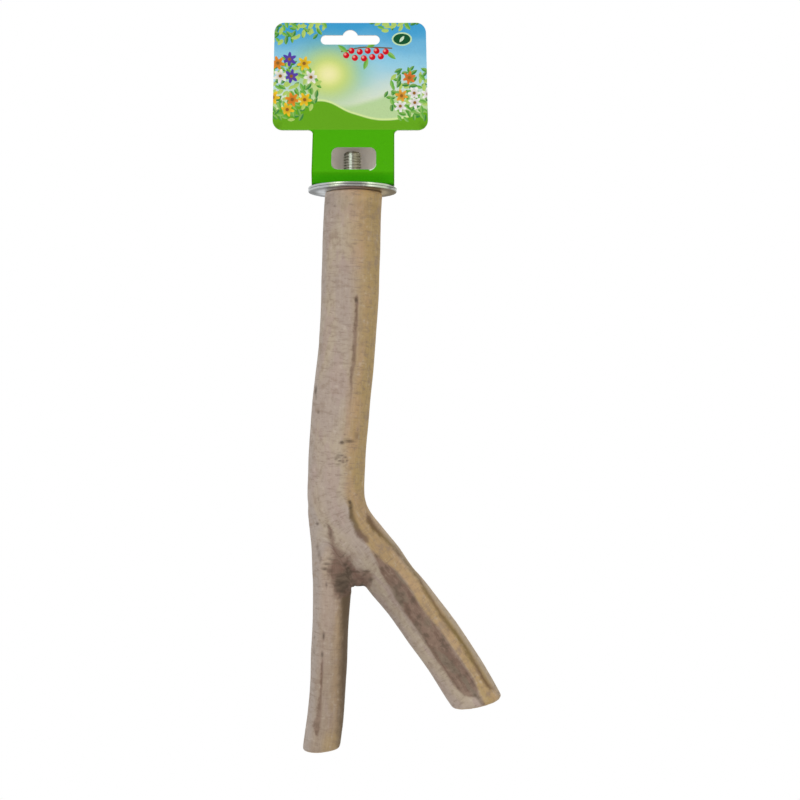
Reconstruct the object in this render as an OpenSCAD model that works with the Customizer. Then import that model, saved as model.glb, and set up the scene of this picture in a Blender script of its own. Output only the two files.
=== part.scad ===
// Natural wooden cage perch: a forked branch on an M8 hanger bolt, clamped to the cage bars
// between two fender washers by a nut, with the folded card that it is sold on.
// Millimetres. The origin is on the bolt's axis, at the seam between the two washers where the
// cage bars are clamped. +Z runs along the bolt away from the wood, and -Y is the card's front.

/* [Branch] */
// Height of the wood, from the sawn top to the low end of the thin leg
wood_l = 253.9; // [160:1:320]
// Diameter of the stem above the fork
stem_d = 26; // [20:0.5:32]
// Diameter of the thick leg, which carries on from the stem
thick_leg_d = 23.2; // [18:0.2:28]
// Diameter of the thin leg
thin_leg_d = 17; // [13:0.2:20]
// Rounding of the sanded ends
end_round = 1.6; // [1:0.1:4]

/* [Bolt] */
// Diameter of the bolt's machine thread
bolt_d = 8; // [6:0.5:10]
// Length of thread that stands out of the seam
bolt_out = 17.1; // [15:0.1:24]
// Length of the screw end in the wood
screw_l = 30; // [20:1:40]
// Width of the nut across its flats
nut_af = 13; // [11:0.5:14]
// Height of the nut
nut_h = 6.5; // [4:0.1:7]
// Radial play of the nut on the thread
thread_play = 0.05; // [0.02:0.01:0.1]

/* [Washers] */
// Outer diameter of each washer
washer_d = 40; // [30:1:50]
// Thickness of each washer
washer_t = 1.05; // [0.8:0.05:2]
// Play of the bolt in the washers' holes, on the radius
washer_play = 0.2; // [0.1:0.05:0.5]

/* [Card] */
// Thickness of one layer of the card
sheet_t = 0.5; // [0.3:0.05:0.8]
// Width of the header along its bottom edge
header_w = 70.3; // [50:0.1:90]
// How much narrower the header is along its top edge
header_taper = 1.8; // [0:0.1:6]
// Height of the header
header_h = 48.5; // [40:0.5:70]
// Corner radius of the header
header_r = 4.5; // [2:0.1:8]
// Distance of the header's middle from the bolt's axis
header_shift = -1; // [-3:0.1:3]
// Width of the folded neck
neck_w = 36.9; // [28:0.1:44]
// Distance of the neck's middle from the bolt's axis
neck_shift = 0.5; // [-2:0.1:2]
// Height of the neck's top above the seam
neck_top = 27.1; // [24:0.1:40]
// Height of the crease above the base panel
crease_h = 5.4; // [3:0.1:8]
// Half of the depth of the fold at the crease
crease_y = 10.2; // [9.6:0.1:14]
// Half of the depth of the base panel
base_y = 8.6; // [8.2:0.1:12]
// Width of the window
window_w = 20; // [12:0.1:26]
// Distance of the window's middle from the neck's middle
window_shift = 0.3; // [-2:0.1:2]
// Height of the window's lower edge above the crease
window_lip = 1.1; // [0.5:0.1:3]
// Height of the window
window_h = 10.8; // [6:0.1:14]
// Corner radius of the window
window_r = 3; // [1:0.1:4]
// Width of the hang slot
slot_w = 26.7; // [20:0.1:34]
// Height of the hang slot's bar
slot_h = 4.2; // [3:0.1:6]
// Radius of the bump over the hang slot's middle
bump_r = 3.6; // [2.5:0.1:5]
// Height of the bump's centre above the middle of the slot's bar
bump_lift = 0.9; // [0.5:0.1:2]
// Distance from the header's top edge to the middle of the slot's bar
slot_drop = 7.6; // [6:0.1:12]

/* [Hidden] */
$fn = 64;
overrun = 1; // how far a cut runs past what it cuts

// Derived sizes of the bolt and the nut
bolt_r = bolt_d / 2;
tip_chamfer = bolt_d / 8;
shank_r = 0.89 * bolt_r; // the plain waist between the two threads
shank_l = 0.5 * bolt_d;
screw_tip_l = 1.1 * bolt_d; // the tapered end of the screw
thread_bite = 0.06 * bolt_d; // how far the screw's thread cuts into the wood
pilot_floor = screw_l + bolt_r; // the drill's point runs on past the screw
washer_bore_r = bolt_r + washer_play;
nut_r = nut_af / 2 / cos(30);
nut_chamfer = (nut_r - nut_af / 2) * tan(30);
nut_seat = washer_t + sheet_t; // the nut stands on the card's base panel

// Derived places on the card
base_z = washer_t + sheet_t / 2; // middle of the base panel's thickness
crease_z = base_z + crease_h;
header_top = neck_top + header_h;
slot_z = header_top - slot_drop;
window_low = crease_z + window_lip;
crease_bend = 3 * sheet_t;
base_bend = 2 * sheet_t;
neck_bend = 8 * sheet_t;
neck_fillet = 4 * sheet_t;

// How finely the branch is drawn
trunk_sides = 36;
leg_sides = 24;
trunk_steps = 2; // rings for each row of trunk_shares
leg_steps = 2; // rings for each row of a leg's table
end_steps = 3; // rings in a rounded end
blend_power = 4; // a lower power rounds the fork more

// The trunk, from the sawn top down to the crotch. Depths are shares of wood_l and all else are
// shares of stem_d: depth; middle, half width and half depth of the main lobe, which becomes the
// thick leg; the same of the side lobe, which becomes the thin leg; half depth of the web.
trunk_shares = [
    [0.000, 0.018, 0.500, 0.500, -0.420, 0.300, 0.000, 0.000],
    [0.090, -0.020, 0.504, 0.503, -0.420, 0.300, 0.000, 0.000],
    [0.179, -0.041, 0.501, 0.498, -0.420, 0.300, 0.000, 0.000],
    [0.269, -0.090, 0.497, 0.500, -0.420, 0.300, 0.000, 0.000],
    [0.359, -0.180, 0.503, 0.505, -0.420, 0.300, 0.000, 0.000],
    [0.439, -0.249, 0.504, 0.505, -0.420, 0.320, 0.030, 0.000],
    [0.498, -0.279, 0.496, 0.500, -0.420, 0.340, 0.100, 0.000],
    [0.543, -0.284, 0.500, 0.498, -0.420, 0.355, 0.200, 0.050],
    [0.568, -0.207, 0.520, 0.495, -0.415, 0.360, 0.280, 0.120],
    [0.588, -0.072, 0.535, 0.490, -0.402, 0.357, 0.325, 0.190],
    [0.611, 0.090, 0.550, 0.482, -0.382, 0.352, 0.340, 0.240],
    [0.632, 0.248, 0.560, 0.474, -0.365, 0.346, 0.340, 0.250],
    [0.654, 0.392, 0.563, 0.464, -0.360, 0.343, 0.338, 0.240],
    [0.675, 0.548, 0.560, 0.453, -0.357, 0.340, 0.335, 0.220],
    [0.693, 0.690, 0.550, 0.440, -0.354, 0.333, 0.326, 0.180],
    [0.700, 0.765, 0.500, 0.360, -0.354, 0.290, 0.260, 0.110]
];
web_half_share = 0.26;

// A leg's rings: depth as a share of wood_l; middle to the right and to the back as shares of
// stem_d; radius as a share of the leg's own diameter; tilt in degrees of the ring's plane.
thick_leg_shares = [
    [0.632, 0.242, 0.000, 0.400, 38],
    [0.675, 0.560, -0.010, 0.470, 38],
    [0.697, 0.737, -0.015, 0.480, 38],
    [0.725, 0.976, -0.030, 0.486, 37],
    [0.796, 1.487, -0.080, 0.488, 35],
    [0.852, 1.855, -0.120, 0.491, 30],
    [0.900, 2.142, -0.150, 0.500, 12]
];
thin_leg_shares = [
    [0.628, -0.362, 0.010, 0.400, 0],
    [0.670, -0.356, 0.025, 0.500, 0],
    [0.698, -0.352, 0.035, 0.522, 0],
    [0.754, -0.377, 0.070, 0.495, 0],
    [0.810, -0.402, 0.110, 0.490, -1],
    [0.867, -0.431, 0.150, 0.482, -2],
    [0.925, -0.468, 0.190, 0.492, -2],
    [0.957, -0.502, 0.210, 0.508, 0],
    [0.991, -0.547, 0.230, 0.518, 5]
];

// Smooth curve through the rows of a table, with the given number of steps between rows
function between(rows, k, f) =
    let(a = rows[max(k - 1, 0)], b = rows[k], c = rows[k + 1], d = rows[min(k + 2, len(rows) - 1)])
    b + f * (c - a) / 2 + f * f * (a - 2.5 * b + 2 * c - d / 2) + f * f * f * (1.5 * (b - c) + (d - a) / 2);
function refined(rows, steps) = concat(
    [for (k = [0 : len(rows) - 2]) for (i = [0 : steps - 1]) between(rows, k, i / steps)],
    [rows[len(rows) - 1]]
);

function level(depth_share) = -washer_t - depth_share * wood_l;

// Half depth of one round lobe at x. A lobe is its middle, half width and half depth.
function lobe(x, l) = l[2] * sqrt(max(0, 1 - pow((x - l[0]) / l[1], 2)));
function rounded_sum(values) = pow([for (v = values) pow(v, blend_power)] * [for (v = values) 1], 1 / blend_power);

// One level ring of the trunk: two lobes and the web between them, blended
function trunk_ring(row) =
    let(
        main = stem_d * [row[1], row[2], row[3]],
        side = stem_d * [row[4], row[5], row[6]],
        web_x = (main[0] - main[1] + side[0] + side[1]) / 2,
        web = [web_x, stem_d * web_half_share, stem_d * row[7]],
        left = row[6] > 0 ? min(main[0] - main[1], side[0] - side[1] * min(1, 4 * row[6])) : main[0] - main[1],
        right = main[0] + main[1],
        middle = (left + right) / 2,
        half = (right - left) / 2
    )
    [for (i = [0 : trunk_sides - 1])
        let(
            angle = 360 * (i + 0.5) / trunk_sides,
            x = middle + half * cos(angle),
            y = rounded_sum([lobe(x, main), lobe(x, side), lobe(x, web)])
        )
        [x, sign(sin(angle)) * y, level(row[0])]];

// One ring of a leg, turned by its tilt about an axis from front to back
function leg_ring(row, leg_d) =
    let(middle = [stem_d * row[1], stem_d * row[2], level(row[0])], r = leg_d * row[3])
    [for (i = [0 : leg_sides - 1])
        let(angle = 360 * (i + 0.5) / leg_sides)
        middle + r * [cos(angle) * cos(row[4]), sin(angle), cos(angle) * sin(row[4])]];

// The rings that round off a leg's end, as an arc of end_round
function end_rings(row, leg_d) =
    let(middle = [stem_d * row[1], stem_d * row[2], level(row[0])], r = leg_d * row[3])
    [for (k = [1 : end_steps])
        let(
            arc = 90 * k / end_steps,
            tip = middle + end_round * sin(arc) * [sin(row[4]), 0, -cos(row[4])],
            ring_r = r - end_round * (1 - cos(arc))
        )
        [for (i = [0 : leg_sides - 1])
            let(angle = 360 * (i + 0.5) / leg_sides)
            tip + ring_r * [cos(angle) * cos(row[4]), sin(angle), cos(angle) * sin(row[4])]]];

// A closed skin over rings of points, each ring counter-clockwise from above and the first on top
module skin(rings) {
    n = len(rings[0]);
    last = (len(rings) - 1) * n;
    walls = [for (k = [0 : len(rings) - 2]) for (i = [0 : n - 1])
        let(a = k * n + i, b = k * n + (i + 1) % n)
        each [[a, b, a + n], [b, b + n, a + n]]];
    top = [for (i = [n - 1 : -1 : 0]) i];
    bottom = [for (i = [0 : n - 1]) last + i];
    polyhedron([for (ring = rings) each ring], concat([top], walls, [bottom]));
}

module trunk() {
    skin([for (row = refined(trunk_shares, trunk_steps)) trunk_ring(row)]);
}

module leg(shares, leg_d) {
    rows = refined(shares, leg_steps);
    skin(concat(
        [for (row = rows) leg_ring(row, leg_d)],
        end_rings(rows[len(rows) - 1], leg_d)
    ));
}

// The profile of the bolt or of its hole, from the axis out: grow widens the wood-screw end
module bolt_profile(grow) {
    polygon([
        [0, -washer_t - screw_l],
        [0.35 * bolt_r + grow, -washer_t - screw_l],
        [bolt_r + grow, -washer_t - screw_l + screw_tip_l],
        [bolt_r + grow, -washer_t - 2 * shank_l],
        [shank_r, -washer_t - 1.8 * shank_l],
        [shank_r, -washer_t - shank_l],
        [bolt_r, -washer_t - 0.8 * shank_l],
        [bolt_r, bolt_out - tip_chamfer],
        [bolt_r - tip_chamfer, bolt_out],
        [0, bolt_out]
    ]);
}

// The drilled hole: a pilot as wide as the screw's core, with the drill's point at its floor
module pilot_hole() {
    rotate_extrude()
        polygon([
            [0, -washer_t - pilot_floor],
            [bolt_r - thread_bite, -washer_t - screw_l],
            [bolt_r - thread_bite, -washer_t - 2 * shank_l],
            [bolt_r, -washer_t - 2 * shank_l],
            [bolt_r, -washer_t + overrun],
            [0, -washer_t + overrun]
        ]);
}

module branch() {
    color("#b09c86")
        difference() {
            translate([0, 0, -washer_t])
                resize([0, 0, wood_l])
                translate([0, 0, washer_t])
                union() {
                    trunk();
                    leg(thick_leg_shares, thick_leg_d);
                    leg(thin_leg_shares, thin_leg_d);
                }
            pilot_hole();
        }
}

module hanger_bolt() {
    color("#c9cbcc") rotate_extrude() bolt_profile(0);
}

// A flat washer with its edges barely broken
module washer(low_z) {
    edge = washer_t / 5;
    translate([0, 0, low_z])
        rotate_extrude()
        polygon([
            [washer_bore_r, 0],
            [washer_d / 2 - edge, 0],
            [washer_d / 2, edge],
            [washer_d / 2, washer_t - edge],
            [washer_d / 2 - edge, washer_t],
            [washer_bore_r, washer_t]
        ]);
}

module lower_washer() {
    color("#cfd2d3") washer(-washer_t);
}

module upper_washer() {
    color("#d6d8d9") washer(0);
}

// Arc of the given radius in the corner b of the line a, b, c
function bend(a, b, c, r, steps = 6) =
    let(
        u = (a - b) / norm(a - b),
        v = (c - b) / norm(c - b),
        half = acos(u * v) / 2,
        middle = b + (u + v) / norm(u + v) * r / sin(half),
        from = b + u * r / tan(half) - middle,
        to = b + v * r / tan(half) - middle,
        turn = 180 - 2 * half
    )
    [for (i = [0 : steps]) middle + (from * sin(turn * (1 - i / steps)) + to * sin(turn * i / steps)) / sin(turn)];

// The points at a distance to the left of a line of points
function beside(line, distance) =
    let(last = len(line) - 1)
    [for (i = [0 : last])
        let(d = line[min(i + 1, last)] - line[max(i - 1, 0)])
        line[i] + [-d[1], d[0]] / norm(d) * distance];

// A line of points followed by its mirror image, the last point first
function mirrored(line) = concat(line, [for (i = [len(line) - 1 : -1 : 0]) [-line[i][0], line[i][1]]]);

// Half of the folded card seen from the side, as [y, z] along the middle of its thickness, from
// the middle of the base panel and round the crease to the neck's top, where both layers meet
function half_fold() =
    let(
        base_mid = [0, base_z],
        corner = [base_y, base_z],
        crease = [crease_y, crease_z],
        neck = [sheet_t / 2, neck_top],
        top = [sheet_t / 2, header_top]
    )
    concat(
        [base_mid],
        bend(base_mid, corner, crease, base_bend),
        bend(corner, crease, neck, crease_bend),
        bend(crease, neck, top, neck_bend)
    );

// The card from the side: the header's two layers are glued, and the neck opens into the fold
module fold_profile() {
    difference() {
        polygon(mirrored(concat(beside(half_fold(), -sheet_t / 2), [[sheet_t, header_top]])));
        polygon(mirrored(beside(half_fold(), sheet_t / 2)));
    }
}

// A rectangle of unequal widths with rounded corners, standing on y = 0
module rounded_header() {
    low = header_w / 2 - header_r;
    high = low - header_taper / 2;
    arc = [for (a = [0 : 9 : 90]) header_r * [cos(a), sin(a)]];
    right = concat(
        [for (p = arc) [low + p[1], header_r - p[0]]],
        [for (p = arc) [high + p[0], header_h - header_r + p[1]]]
    );
    n = len(right) - 1;
    polygon(concat(right, [for (i = [n : -1 : 0]) [-right[i][0], right[i][1]]]));
}

// The small fillet in each corner between the header and the neck
module neck_corners() {
    for (side = [-1, 1])
        translate([neck_shift + side * neck_w / 2, neck_top])
        difference() {
            translate([side > 0 ? 0 : -neck_fillet, -neck_fillet])
                square([neck_fillet, neck_fillet + sheet_t]);
            translate([side * neck_fillet, -neck_fillet]) circle(neck_fillet);
        }
}

// The flat outline of the card as seen from the front
module front_outline() {
    translate([header_shift, neck_top]) rounded_header();
    translate([neck_shift - neck_w / 2, 0]) square([neck_w, neck_top + header_r]);
    neck_corners();
}

// The slot that a shop's hook goes through, as seen from the front
module hang_slot() {
    end = slot_w / 2 - slot_h / 2;
    translate([header_shift, slot_z]) {
        square([2 * end, slot_h], center = true);
        for (side = [-1, 1]) translate([side * end, 0]) circle(d = slot_h);
        translate([0, bump_lift]) circle(bump_r);
    }
}

// The window in the front panel, as seen from the front
module window() {
    inner_w = window_w / 2 - window_r;
    translate([neck_shift + window_shift, window_low]) {
        translate([-inner_w, 0]) square([2 * inner_w, window_h]);
        translate([-window_w / 2, window_r]) square([window_w, window_h - 2 * window_r]);
        for (side = [-1, 1], z = [window_r, window_h - window_r])
            translate([side * inner_w, z]) circle(window_r);
    }
}

// Stands a flat outline up, facing the front, from y = from to y = to
module upright(from, to) {
    translate([0, to, 0]) rotate([90, 0, 0]) linear_extrude(to - from) children();
}

module hanging_card() {
    reach = crease_y + overrun;
    width = header_w + 2 * abs(header_shift) + 2 * overrun;
    color("#4aa80d")
        difference() {
            intersection() {
                translate([-width / 2, 0, 0])
                    rotate([90, 0, 90]) linear_extrude(width) fold_profile();
                upright(-reach, reach) front_outline();
            }
            upright(-reach, reach) hang_slot();
            upright(-reach, 0) window();
            translate([0, 0, washer_t - overrun]) cylinder(r = washer_bore_r, h = sheet_t + 2 * overrun);
        }
}

module nut() {
    color("#c4c7c8")
        translate([0, 0, nut_seat])
        difference() {
            intersection() {
                cylinder(r = nut_r, h = nut_h, $fn = 6);
                rotate_extrude()
                    polygon([
                        [0, 0],
                        [nut_af / 2, 0],
                        [nut_r, nut_chamfer],
                        [nut_r, nut_h - nut_chamfer],
                        [nut_af / 2, nut_h],
                        [0, nut_h]
                    ]);
            }
            translate([0, 0, -overrun]) cylinder(r = bolt_r + thread_play, h = nut_h + 2 * overrun);
        }
}

branch();
hanger_bolt();
lower_washer();
upper_washer();
hanging_card();
nut();
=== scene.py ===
"""Dresses a natural wooden cage perch: a forked branch on a hanger bolt, with two fender washers,
a nut and the folded card that it hangs on in a shop. Lengths are metres, in the model's frame."""
import math
from contextlib import contextmanager

import bpy
import numpy as np
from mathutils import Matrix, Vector, noise


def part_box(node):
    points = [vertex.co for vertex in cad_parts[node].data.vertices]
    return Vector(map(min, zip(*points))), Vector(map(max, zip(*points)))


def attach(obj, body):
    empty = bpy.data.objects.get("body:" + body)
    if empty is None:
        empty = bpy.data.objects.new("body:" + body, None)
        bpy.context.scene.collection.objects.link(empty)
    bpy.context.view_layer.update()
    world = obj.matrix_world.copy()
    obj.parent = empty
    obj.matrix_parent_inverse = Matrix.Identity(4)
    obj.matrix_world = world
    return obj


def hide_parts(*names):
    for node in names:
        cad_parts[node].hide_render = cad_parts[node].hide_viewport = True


bl_info = {
    "name": "Natural Cage Perch",
    "version": (1, 0, 0),
    "blender": (4, 5, 0),
    "location": "View3D > Sidebar > Perch",
    "description": "Models and finishes a forked wooden cage perch with its bolt, washers, nut and card",
    "category": "Add Mesh",
}

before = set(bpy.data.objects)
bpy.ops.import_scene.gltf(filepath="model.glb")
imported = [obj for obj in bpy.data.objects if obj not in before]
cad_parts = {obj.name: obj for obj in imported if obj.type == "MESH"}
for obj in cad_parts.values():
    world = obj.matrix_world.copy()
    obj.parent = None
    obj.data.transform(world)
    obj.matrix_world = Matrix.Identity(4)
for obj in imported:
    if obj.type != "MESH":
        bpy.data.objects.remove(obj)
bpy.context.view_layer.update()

MM = 0.001
WOOD_LOW, WOOD_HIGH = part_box("branch")
CARD_LOW, CARD_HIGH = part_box("hanging_card")
BOLT_LOW, BOLT_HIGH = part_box("hanger_bolt")
WOOD_TOP = WOOD_HIGH.z
WOOD_HEIGHT = WOOD_HIGH.z - WOOD_LOW.z
BOLT_R = BOLT_HIGH.x
STEM_D = 26 * MM
MAIN_R = STEM_D / 2
THIN_R = 8.5 * MM


def length(name, description, default, low, high):
    """A property for a length in metres."""
    return bpy.props.FloatProperty(
        name=name, description=description, default=default, min=low, max=high,
        subtype="DISTANCE", unit="LENGTH", precision=5)


def colour(name, description, default):
    """A property for a colour."""
    return bpy.props.FloatVectorProperty(
        name=name, description=description, default=default, min=0, max=1, subtype="COLOR")


class BranchLooks(bpy.types.PropertyGroup):
    """Sizes and colours of the wood."""
    grain_size: length(
        "Grain size", "Edge length of the faces that carry the bark's relief", 0.75 * MM, 0.5 * MM, 3 * MM)
    relief: length("Relief", "Height of the bark's slow swells", 0.25 * MM, 0, 1 * MM)
    grey_bark: colour("Grey bark", "The weathered side", (0.420, 0.334, 0.275))
    beige_bark: colour("Beige bark", "The weathered side's warm patches", (0.460, 0.371, 0.273))
    rosy_bark: colour("Rosy bark", "The weathered side's pink patches", (0.420, 0.318, 0.269))
    grey_edge: colour("Grey edge", "The weathered side's pale edge", (0.404, 0.348, 0.305))
    tan_bark: colour("Tan bark", "The warm side", (0.439, 0.295, 0.141))
    orange_bark: colour("Orange bark", "The warm side's bright patches", (0.469, 0.310, 0.162))
    olive_bark: colour("Olive bark", "The warm side's green patches", (0.423, 0.295, 0.121))
    outer_bark: colour("Outer bark", "The strip along the thick leg's outer edge", (0.389, 0.314, 0.226))
    thin_beige: colour("Thin beige", "The thin leg's left half", (0.404, 0.308, 0.226))
    thin_tan: colour("Thin tan", "The thin leg's right half", (0.410, 0.287, 0.172))
    thin_edge: colour("Thin edge", "The thin leg's pale left edge", (0.396, 0.331, 0.284))
    # Painted shade: the thin leg's right side, which turns away from the light into the gap
    thin_shade: colour("Thin shade", "The thin leg's dark right side", (0.129, 0.087, 0.048))
    fleck: colour("Fleck", "Dark flecks", (0.248, 0.178, 0.125))
    pale_fleck: colour("Pale fleck", "Pale flecks", (0.586, 0.495, 0.403))
    tick: colour("Tick", "Short marks across the bark", (0.202, 0.140, 0.101))
    wrinkle: colour("Wrinkle", "Long marks across the bark", (0.217, 0.154, 0.111))
    smudge: colour("Smudge", "Ragged dark patches", (0.278, 0.198, 0.142))
    fibre: colour("Fibre", "Pale fibres along the bark", (0.566, 0.465, 0.355))
    dark_bark: colour("Dark bark", "The rubbed band", (0.162, 0.095, 0.066))
    worn_band: colour("Worn band", "The rubbed band's ridges", (0.227, 0.146, 0.104))
    grey_band: colour("Grey band", "The rubbed band's dull patches", (0.182, 0.140, 0.094))
    pale_band: colour("Pale band", "The rubbed band's pale flecks", (0.293, 0.203, 0.144))
    red_crotch: colour("Red crotch", "The rough bark at the fork", (0.174, 0.102, 0.073))
    pale_crotch: colour("Pale crotch", "The ridges of the rough bark", (0.212, 0.140, 0.102))
    crotch_wrinkle: colour("Crotch wrinkle", "The wrinkles of the rough bark", (0.117, 0.079, 0.053))
    # Also the painted shade under the arch between the legs
    core_and_arch_shade_brown: colour("Brown core", "The middle of the rough bark", (0.141, 0.103, 0.069))
    edge_line: colour("Edge line", "The line down the thick leg's right", (0.167, 0.109, 0.035))
    dark_edge_line: colour("Dark edge line", "Dark parts of the thick leg's line", (0.131, 0.073, 0.031))
    fork_line: colour("Fork line", "The line into the fork", (0.136, 0.089, 0.040))
    low_fork_line: colour("Low fork line", "Lower end of the line into the fork", (0.157, 0.095, 0.067))
    streak: colour("Streak", "The thin lines", (0.126, 0.070, 0.044))
    pale_streak: colour("Pale streak", "The thin lines' pale patches", (0.202, 0.124, 0.086))
    pith: colour("Pith", "The darkest bark, and the spots", (0.086, 0.061, 0.040))
    heartwood: colour("Heartwood", "The sawn ends", (0.500, 0.380, 0.255))
    growth_ring: colour("Growth ring", "The rings in the sawn ends", (0.380, 0.250, 0.140))


class FixingLooks(bpy.types.PropertyGroup):
    """Sizes and colours of the bolt, the washers and the nut."""
    pitch: length("Thread pitch", "Pitch of the machine thread", 1.25 * MM, 0.5 * MM, 3 * MM)
    wood_pitch: length("Screw pitch", "Pitch of the thread in the wood", 3.2 * MM, 1 * MM, 6 * MM)
    edge: length("Edge", "Rounding of the stamped edges", 0.15 * MM, 0, 0.5 * MM)
    zinc: colour("Zinc", "The nut's dull plate", (0.400, 0.395, 0.380))
    thread_zinc: colour("Thread zinc", "The bolt's rolled thread", (0.360, 0.350, 0.290))
    # Painted highlight and painted shade on the thread
    thread_highlight: colour("Burnished thread", "The thread's bright strip", (0.560, 0.600, 0.530))
    thread_left_shade: colour("Dark thread", "The thread's left side", (0.140, 0.160, 0.120))
    khaki_thread_shade: colour("Khaki thread", "The thread's right side", (0.330, 0.315, 0.200))
    rim_zinc: colour("Rim zinc", "The washers' sheared rims", (0.270, 0.272, 0.250))
    # Painted highlights on the rims, and their worn patches
    glint_and_wear_zinc: colour("Bright zinc", "Where the rims are burnished", (0.510, 0.560, 0.440))
    pale_zinc: colour("Pale zinc", "The washers' clean faces", (0.470, 0.487, 0.500))
    # Painted reflection of the pinkish bark in the lower washer's underside
    pink_reflection_zinc: colour("Tarnished zinc", "Plate next to the yellowed part", (0.350, 0.295, 0.288))
    # Painted reflection of the tan bark in the lower washer's underside
    tan_reflection_zinc: colour("Stained zinc", "Plate that has yellowed", (0.280, 0.230, 0.145))
    face_gleam: colour("Face gleam", "Gleam of the washers' faces from the side", (0.45, 0.45, 0.45))


class CardLooks(bpy.types.PropertyGroup):
    """Colours of the printed card."""
    neck_green: colour("Neck green", "The folded neck", (0.068, 0.392, 0.002))
    # Darker green along the neck's two edges
    neck_edge_green: colour("Rubbed green", "The neck's rubbed edges", (0.060, 0.200, 0.004))
    # Board colour with a painted highlight, where the window's lit cut edge shows
    lit_board_corner: colour("Torn corner", "The window's bare corner", (0.780, 0.860, 0.700))
    # Painted shade: the strip under the crease, which faces down
    lip_green: colour("Lip green", "The strip under the crease", (0.042, 0.375, 0.001))
    hill_green: colour("Hill green", "The near hill", (0.136, 0.397, 0.013))
    hill_rim: colour("Hill rim", "The near hill's bright edge", (0.720, 0.850, 0.360))
    far_hill: colour("Far hill", "The far hill", (0.420, 0.640, 0.240))
    sky: colour("Sky", "The sky along the top", (0.050, 0.350, 0.640))
    haze: colour("Haze", "The low sky", (0.300, 0.620, 0.780))
    cream: colour("Cream", "The air over the hills", (0.760, 0.800, 0.600))
    misty_green: colour("Misty green", "The outer mist", (0.300, 0.560, 0.160))
    misty_yellow: colour("Misty yellow", "The lit mist", (0.740, 0.780, 0.180))
    misty_sun: colour("Misty sun", "The middle of the light", (0.950, 0.880, 0.480))
    vein: colour("Vein", "The lit side of a leaf's vein", (0.500, 0.700, 0.200))
    throat: colour("Throat", "The petals near a flower's eye", (0.160, 0.050, 0.030))
    flower_eye: colour("Flower eye", "A flower's eye", (0.300, 0.130, 0.020))
    twig: colour("Twig", "The twig", (0.180, 0.110, 0.040))
    berry: colour("Berry", "The berries", (0.640, 0.006, 0.016))
    berry_glint: colour("Berry glint", "The light on a berry", (0.900, 0.360, 0.300))
    badge: colour("Badge", "The oval badge", (0.008, 0.090, 0.030))
    badge_rim: colour("Badge rim", "The badge's rim", (0.550, 0.760, 0.450))
    badge_leaf: colour("Badge leaf", "The leaf on the badge", (0.620, 0.780, 0.560))
    board: colour("Board", "The unprinted board", (0.870, 0.820, 0.745))
    board_fibre: colour("Board fibre", "Fibres in the board", (0.760, 0.690, 0.610))
    glued_seam: colour("Glued seam", "The seam between the header's layers", (0.300, 0.250, 0.200))


class StageLooks(bpy.types.PropertyGroup):
    """Place of the camera, and place and colours of the floor."""
    eye: bpy.props.FloatVectorProperty(
        name="Eye", description="Place of the camera",
        default=(21.5 * MM, -640 * MM, -94.9 * MM), subtype="TRANSLATION", unit="LENGTH")
    focal_pixels: bpy.props.FloatProperty(
        name="Focal length", description="Focal length in pixels of an image 800 pixels wide",
        default=1414.4, min=400, max=4000)
    floor_drop: length("Floor drop", "Height of the hanging perch over the floor", 200 * MM, 0, 1)
    floor: colour("Floor", "The floor", (0.840, 0.840, 0.840))
    floor_speckle: colour("Floor speckle", "The floor's faint speckle", (0.800, 0.800, 0.800))


# Selecting, copying and finishing meshes

def select_only(*pieces):
    bpy.ops.object.select_all(action="DESELECT")
    for piece in pieces:
        piece.select_set(True)
    bpy.context.view_layer.objects.active = pieces[-1]


@contextmanager
def editing(piece):
    """Opens a piece's mesh for edits, with all of it selected."""
    select_only(piece)
    bpy.ops.object.mode_set(mode="EDIT")
    bpy.ops.mesh.select_all(action="SELECT")
    yield
    bpy.ops.object.mode_set(mode="OBJECT")


def cut_open_mesh(axis, place, **settings):
    """Cuts the mesh that is open for edits with a plane square to an axis."""
    point, normal = [0, 0, 0], [0, 0, 0]
    point[axis] = place
    normal[axis] = 1
    bpy.ops.mesh.select_all(action="SELECT")
    bpy.ops.mesh.bisect(plane_co=point, plane_no=normal, **settings)


def copy_of_node(node, name):
    """A merged copy of a CAD node, to be worked on while the node itself stays as it is."""
    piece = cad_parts[node].copy()
    piece.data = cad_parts[node].data.copy()
    piece.name = piece.data.name = name
    piece.parent = None
    for key in list(piece.keys()):
        del piece[key]
    bpy.context.scene.collection.objects.link(piece)
    piece.data.materials.clear()
    with editing(piece):
        bpy.ops.mesh.remove_doubles(threshold=0.005 * MM)
    return piece


def apply_modifier(piece, kind, **settings):
    select_only(piece)
    modifier = piece.modifiers.new(kind.title(), kind)
    for key, value in settings.items():
        setattr(modifier, key, value)
    bpy.ops.object.modifier_apply(modifier=modifier.name)


def bevel(piece, width, degrees):
    """Rounds the edges that turn by more than an angle."""
    apply_modifier(
        piece, "BEVEL", width=width, segments=2, limit_method="ANGLE", angle_limit=math.radians(degrees))


def smooth(piece, degrees):
    """Shades a piece smooth over the edges that turn by less than an angle."""
    select_only(piece)
    bpy.ops.object.shade_smooth_by_angle(angle=math.radians(degrees))


def settle(piece):
    """Puts the object's place, turn and size into its mesh."""
    select_only(piece)
    bpy.ops.object.transform_apply(location=True, rotation=True, scale=True)


def vertices_of(piece, kind="co"):
    """The places of a mesh's vertices, or their normals, one to a row."""
    flat = np.zeros(len(piece.data.vertices) * 3)
    piece.data.vertices.foreach_get(kind, flat)
    return flat.reshape(-1, 3)


def move_vertices(piece, places):
    piece.data.vertices.foreach_set("co", places.ravel())
    piece.data.update()


def paint(piece, name, values):
    """Keeps a number or a vector for each vertex, for a material to read."""
    if values.ndim == 1:
        piece.data.attributes.new(name, "FLOAT", "POINT").data.foreach_set("value", values)
    else:
        piece.data.attributes.new(name, "FLOAT_VECTOR", "POINT").data.foreach_set("vector", values.ravel())


def smoothstep(low, high, x):
    t = np.clip((x - low) / (high - low), 0, 1)
    return t * t * (3 - 2 * t)


# Building nodes

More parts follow.
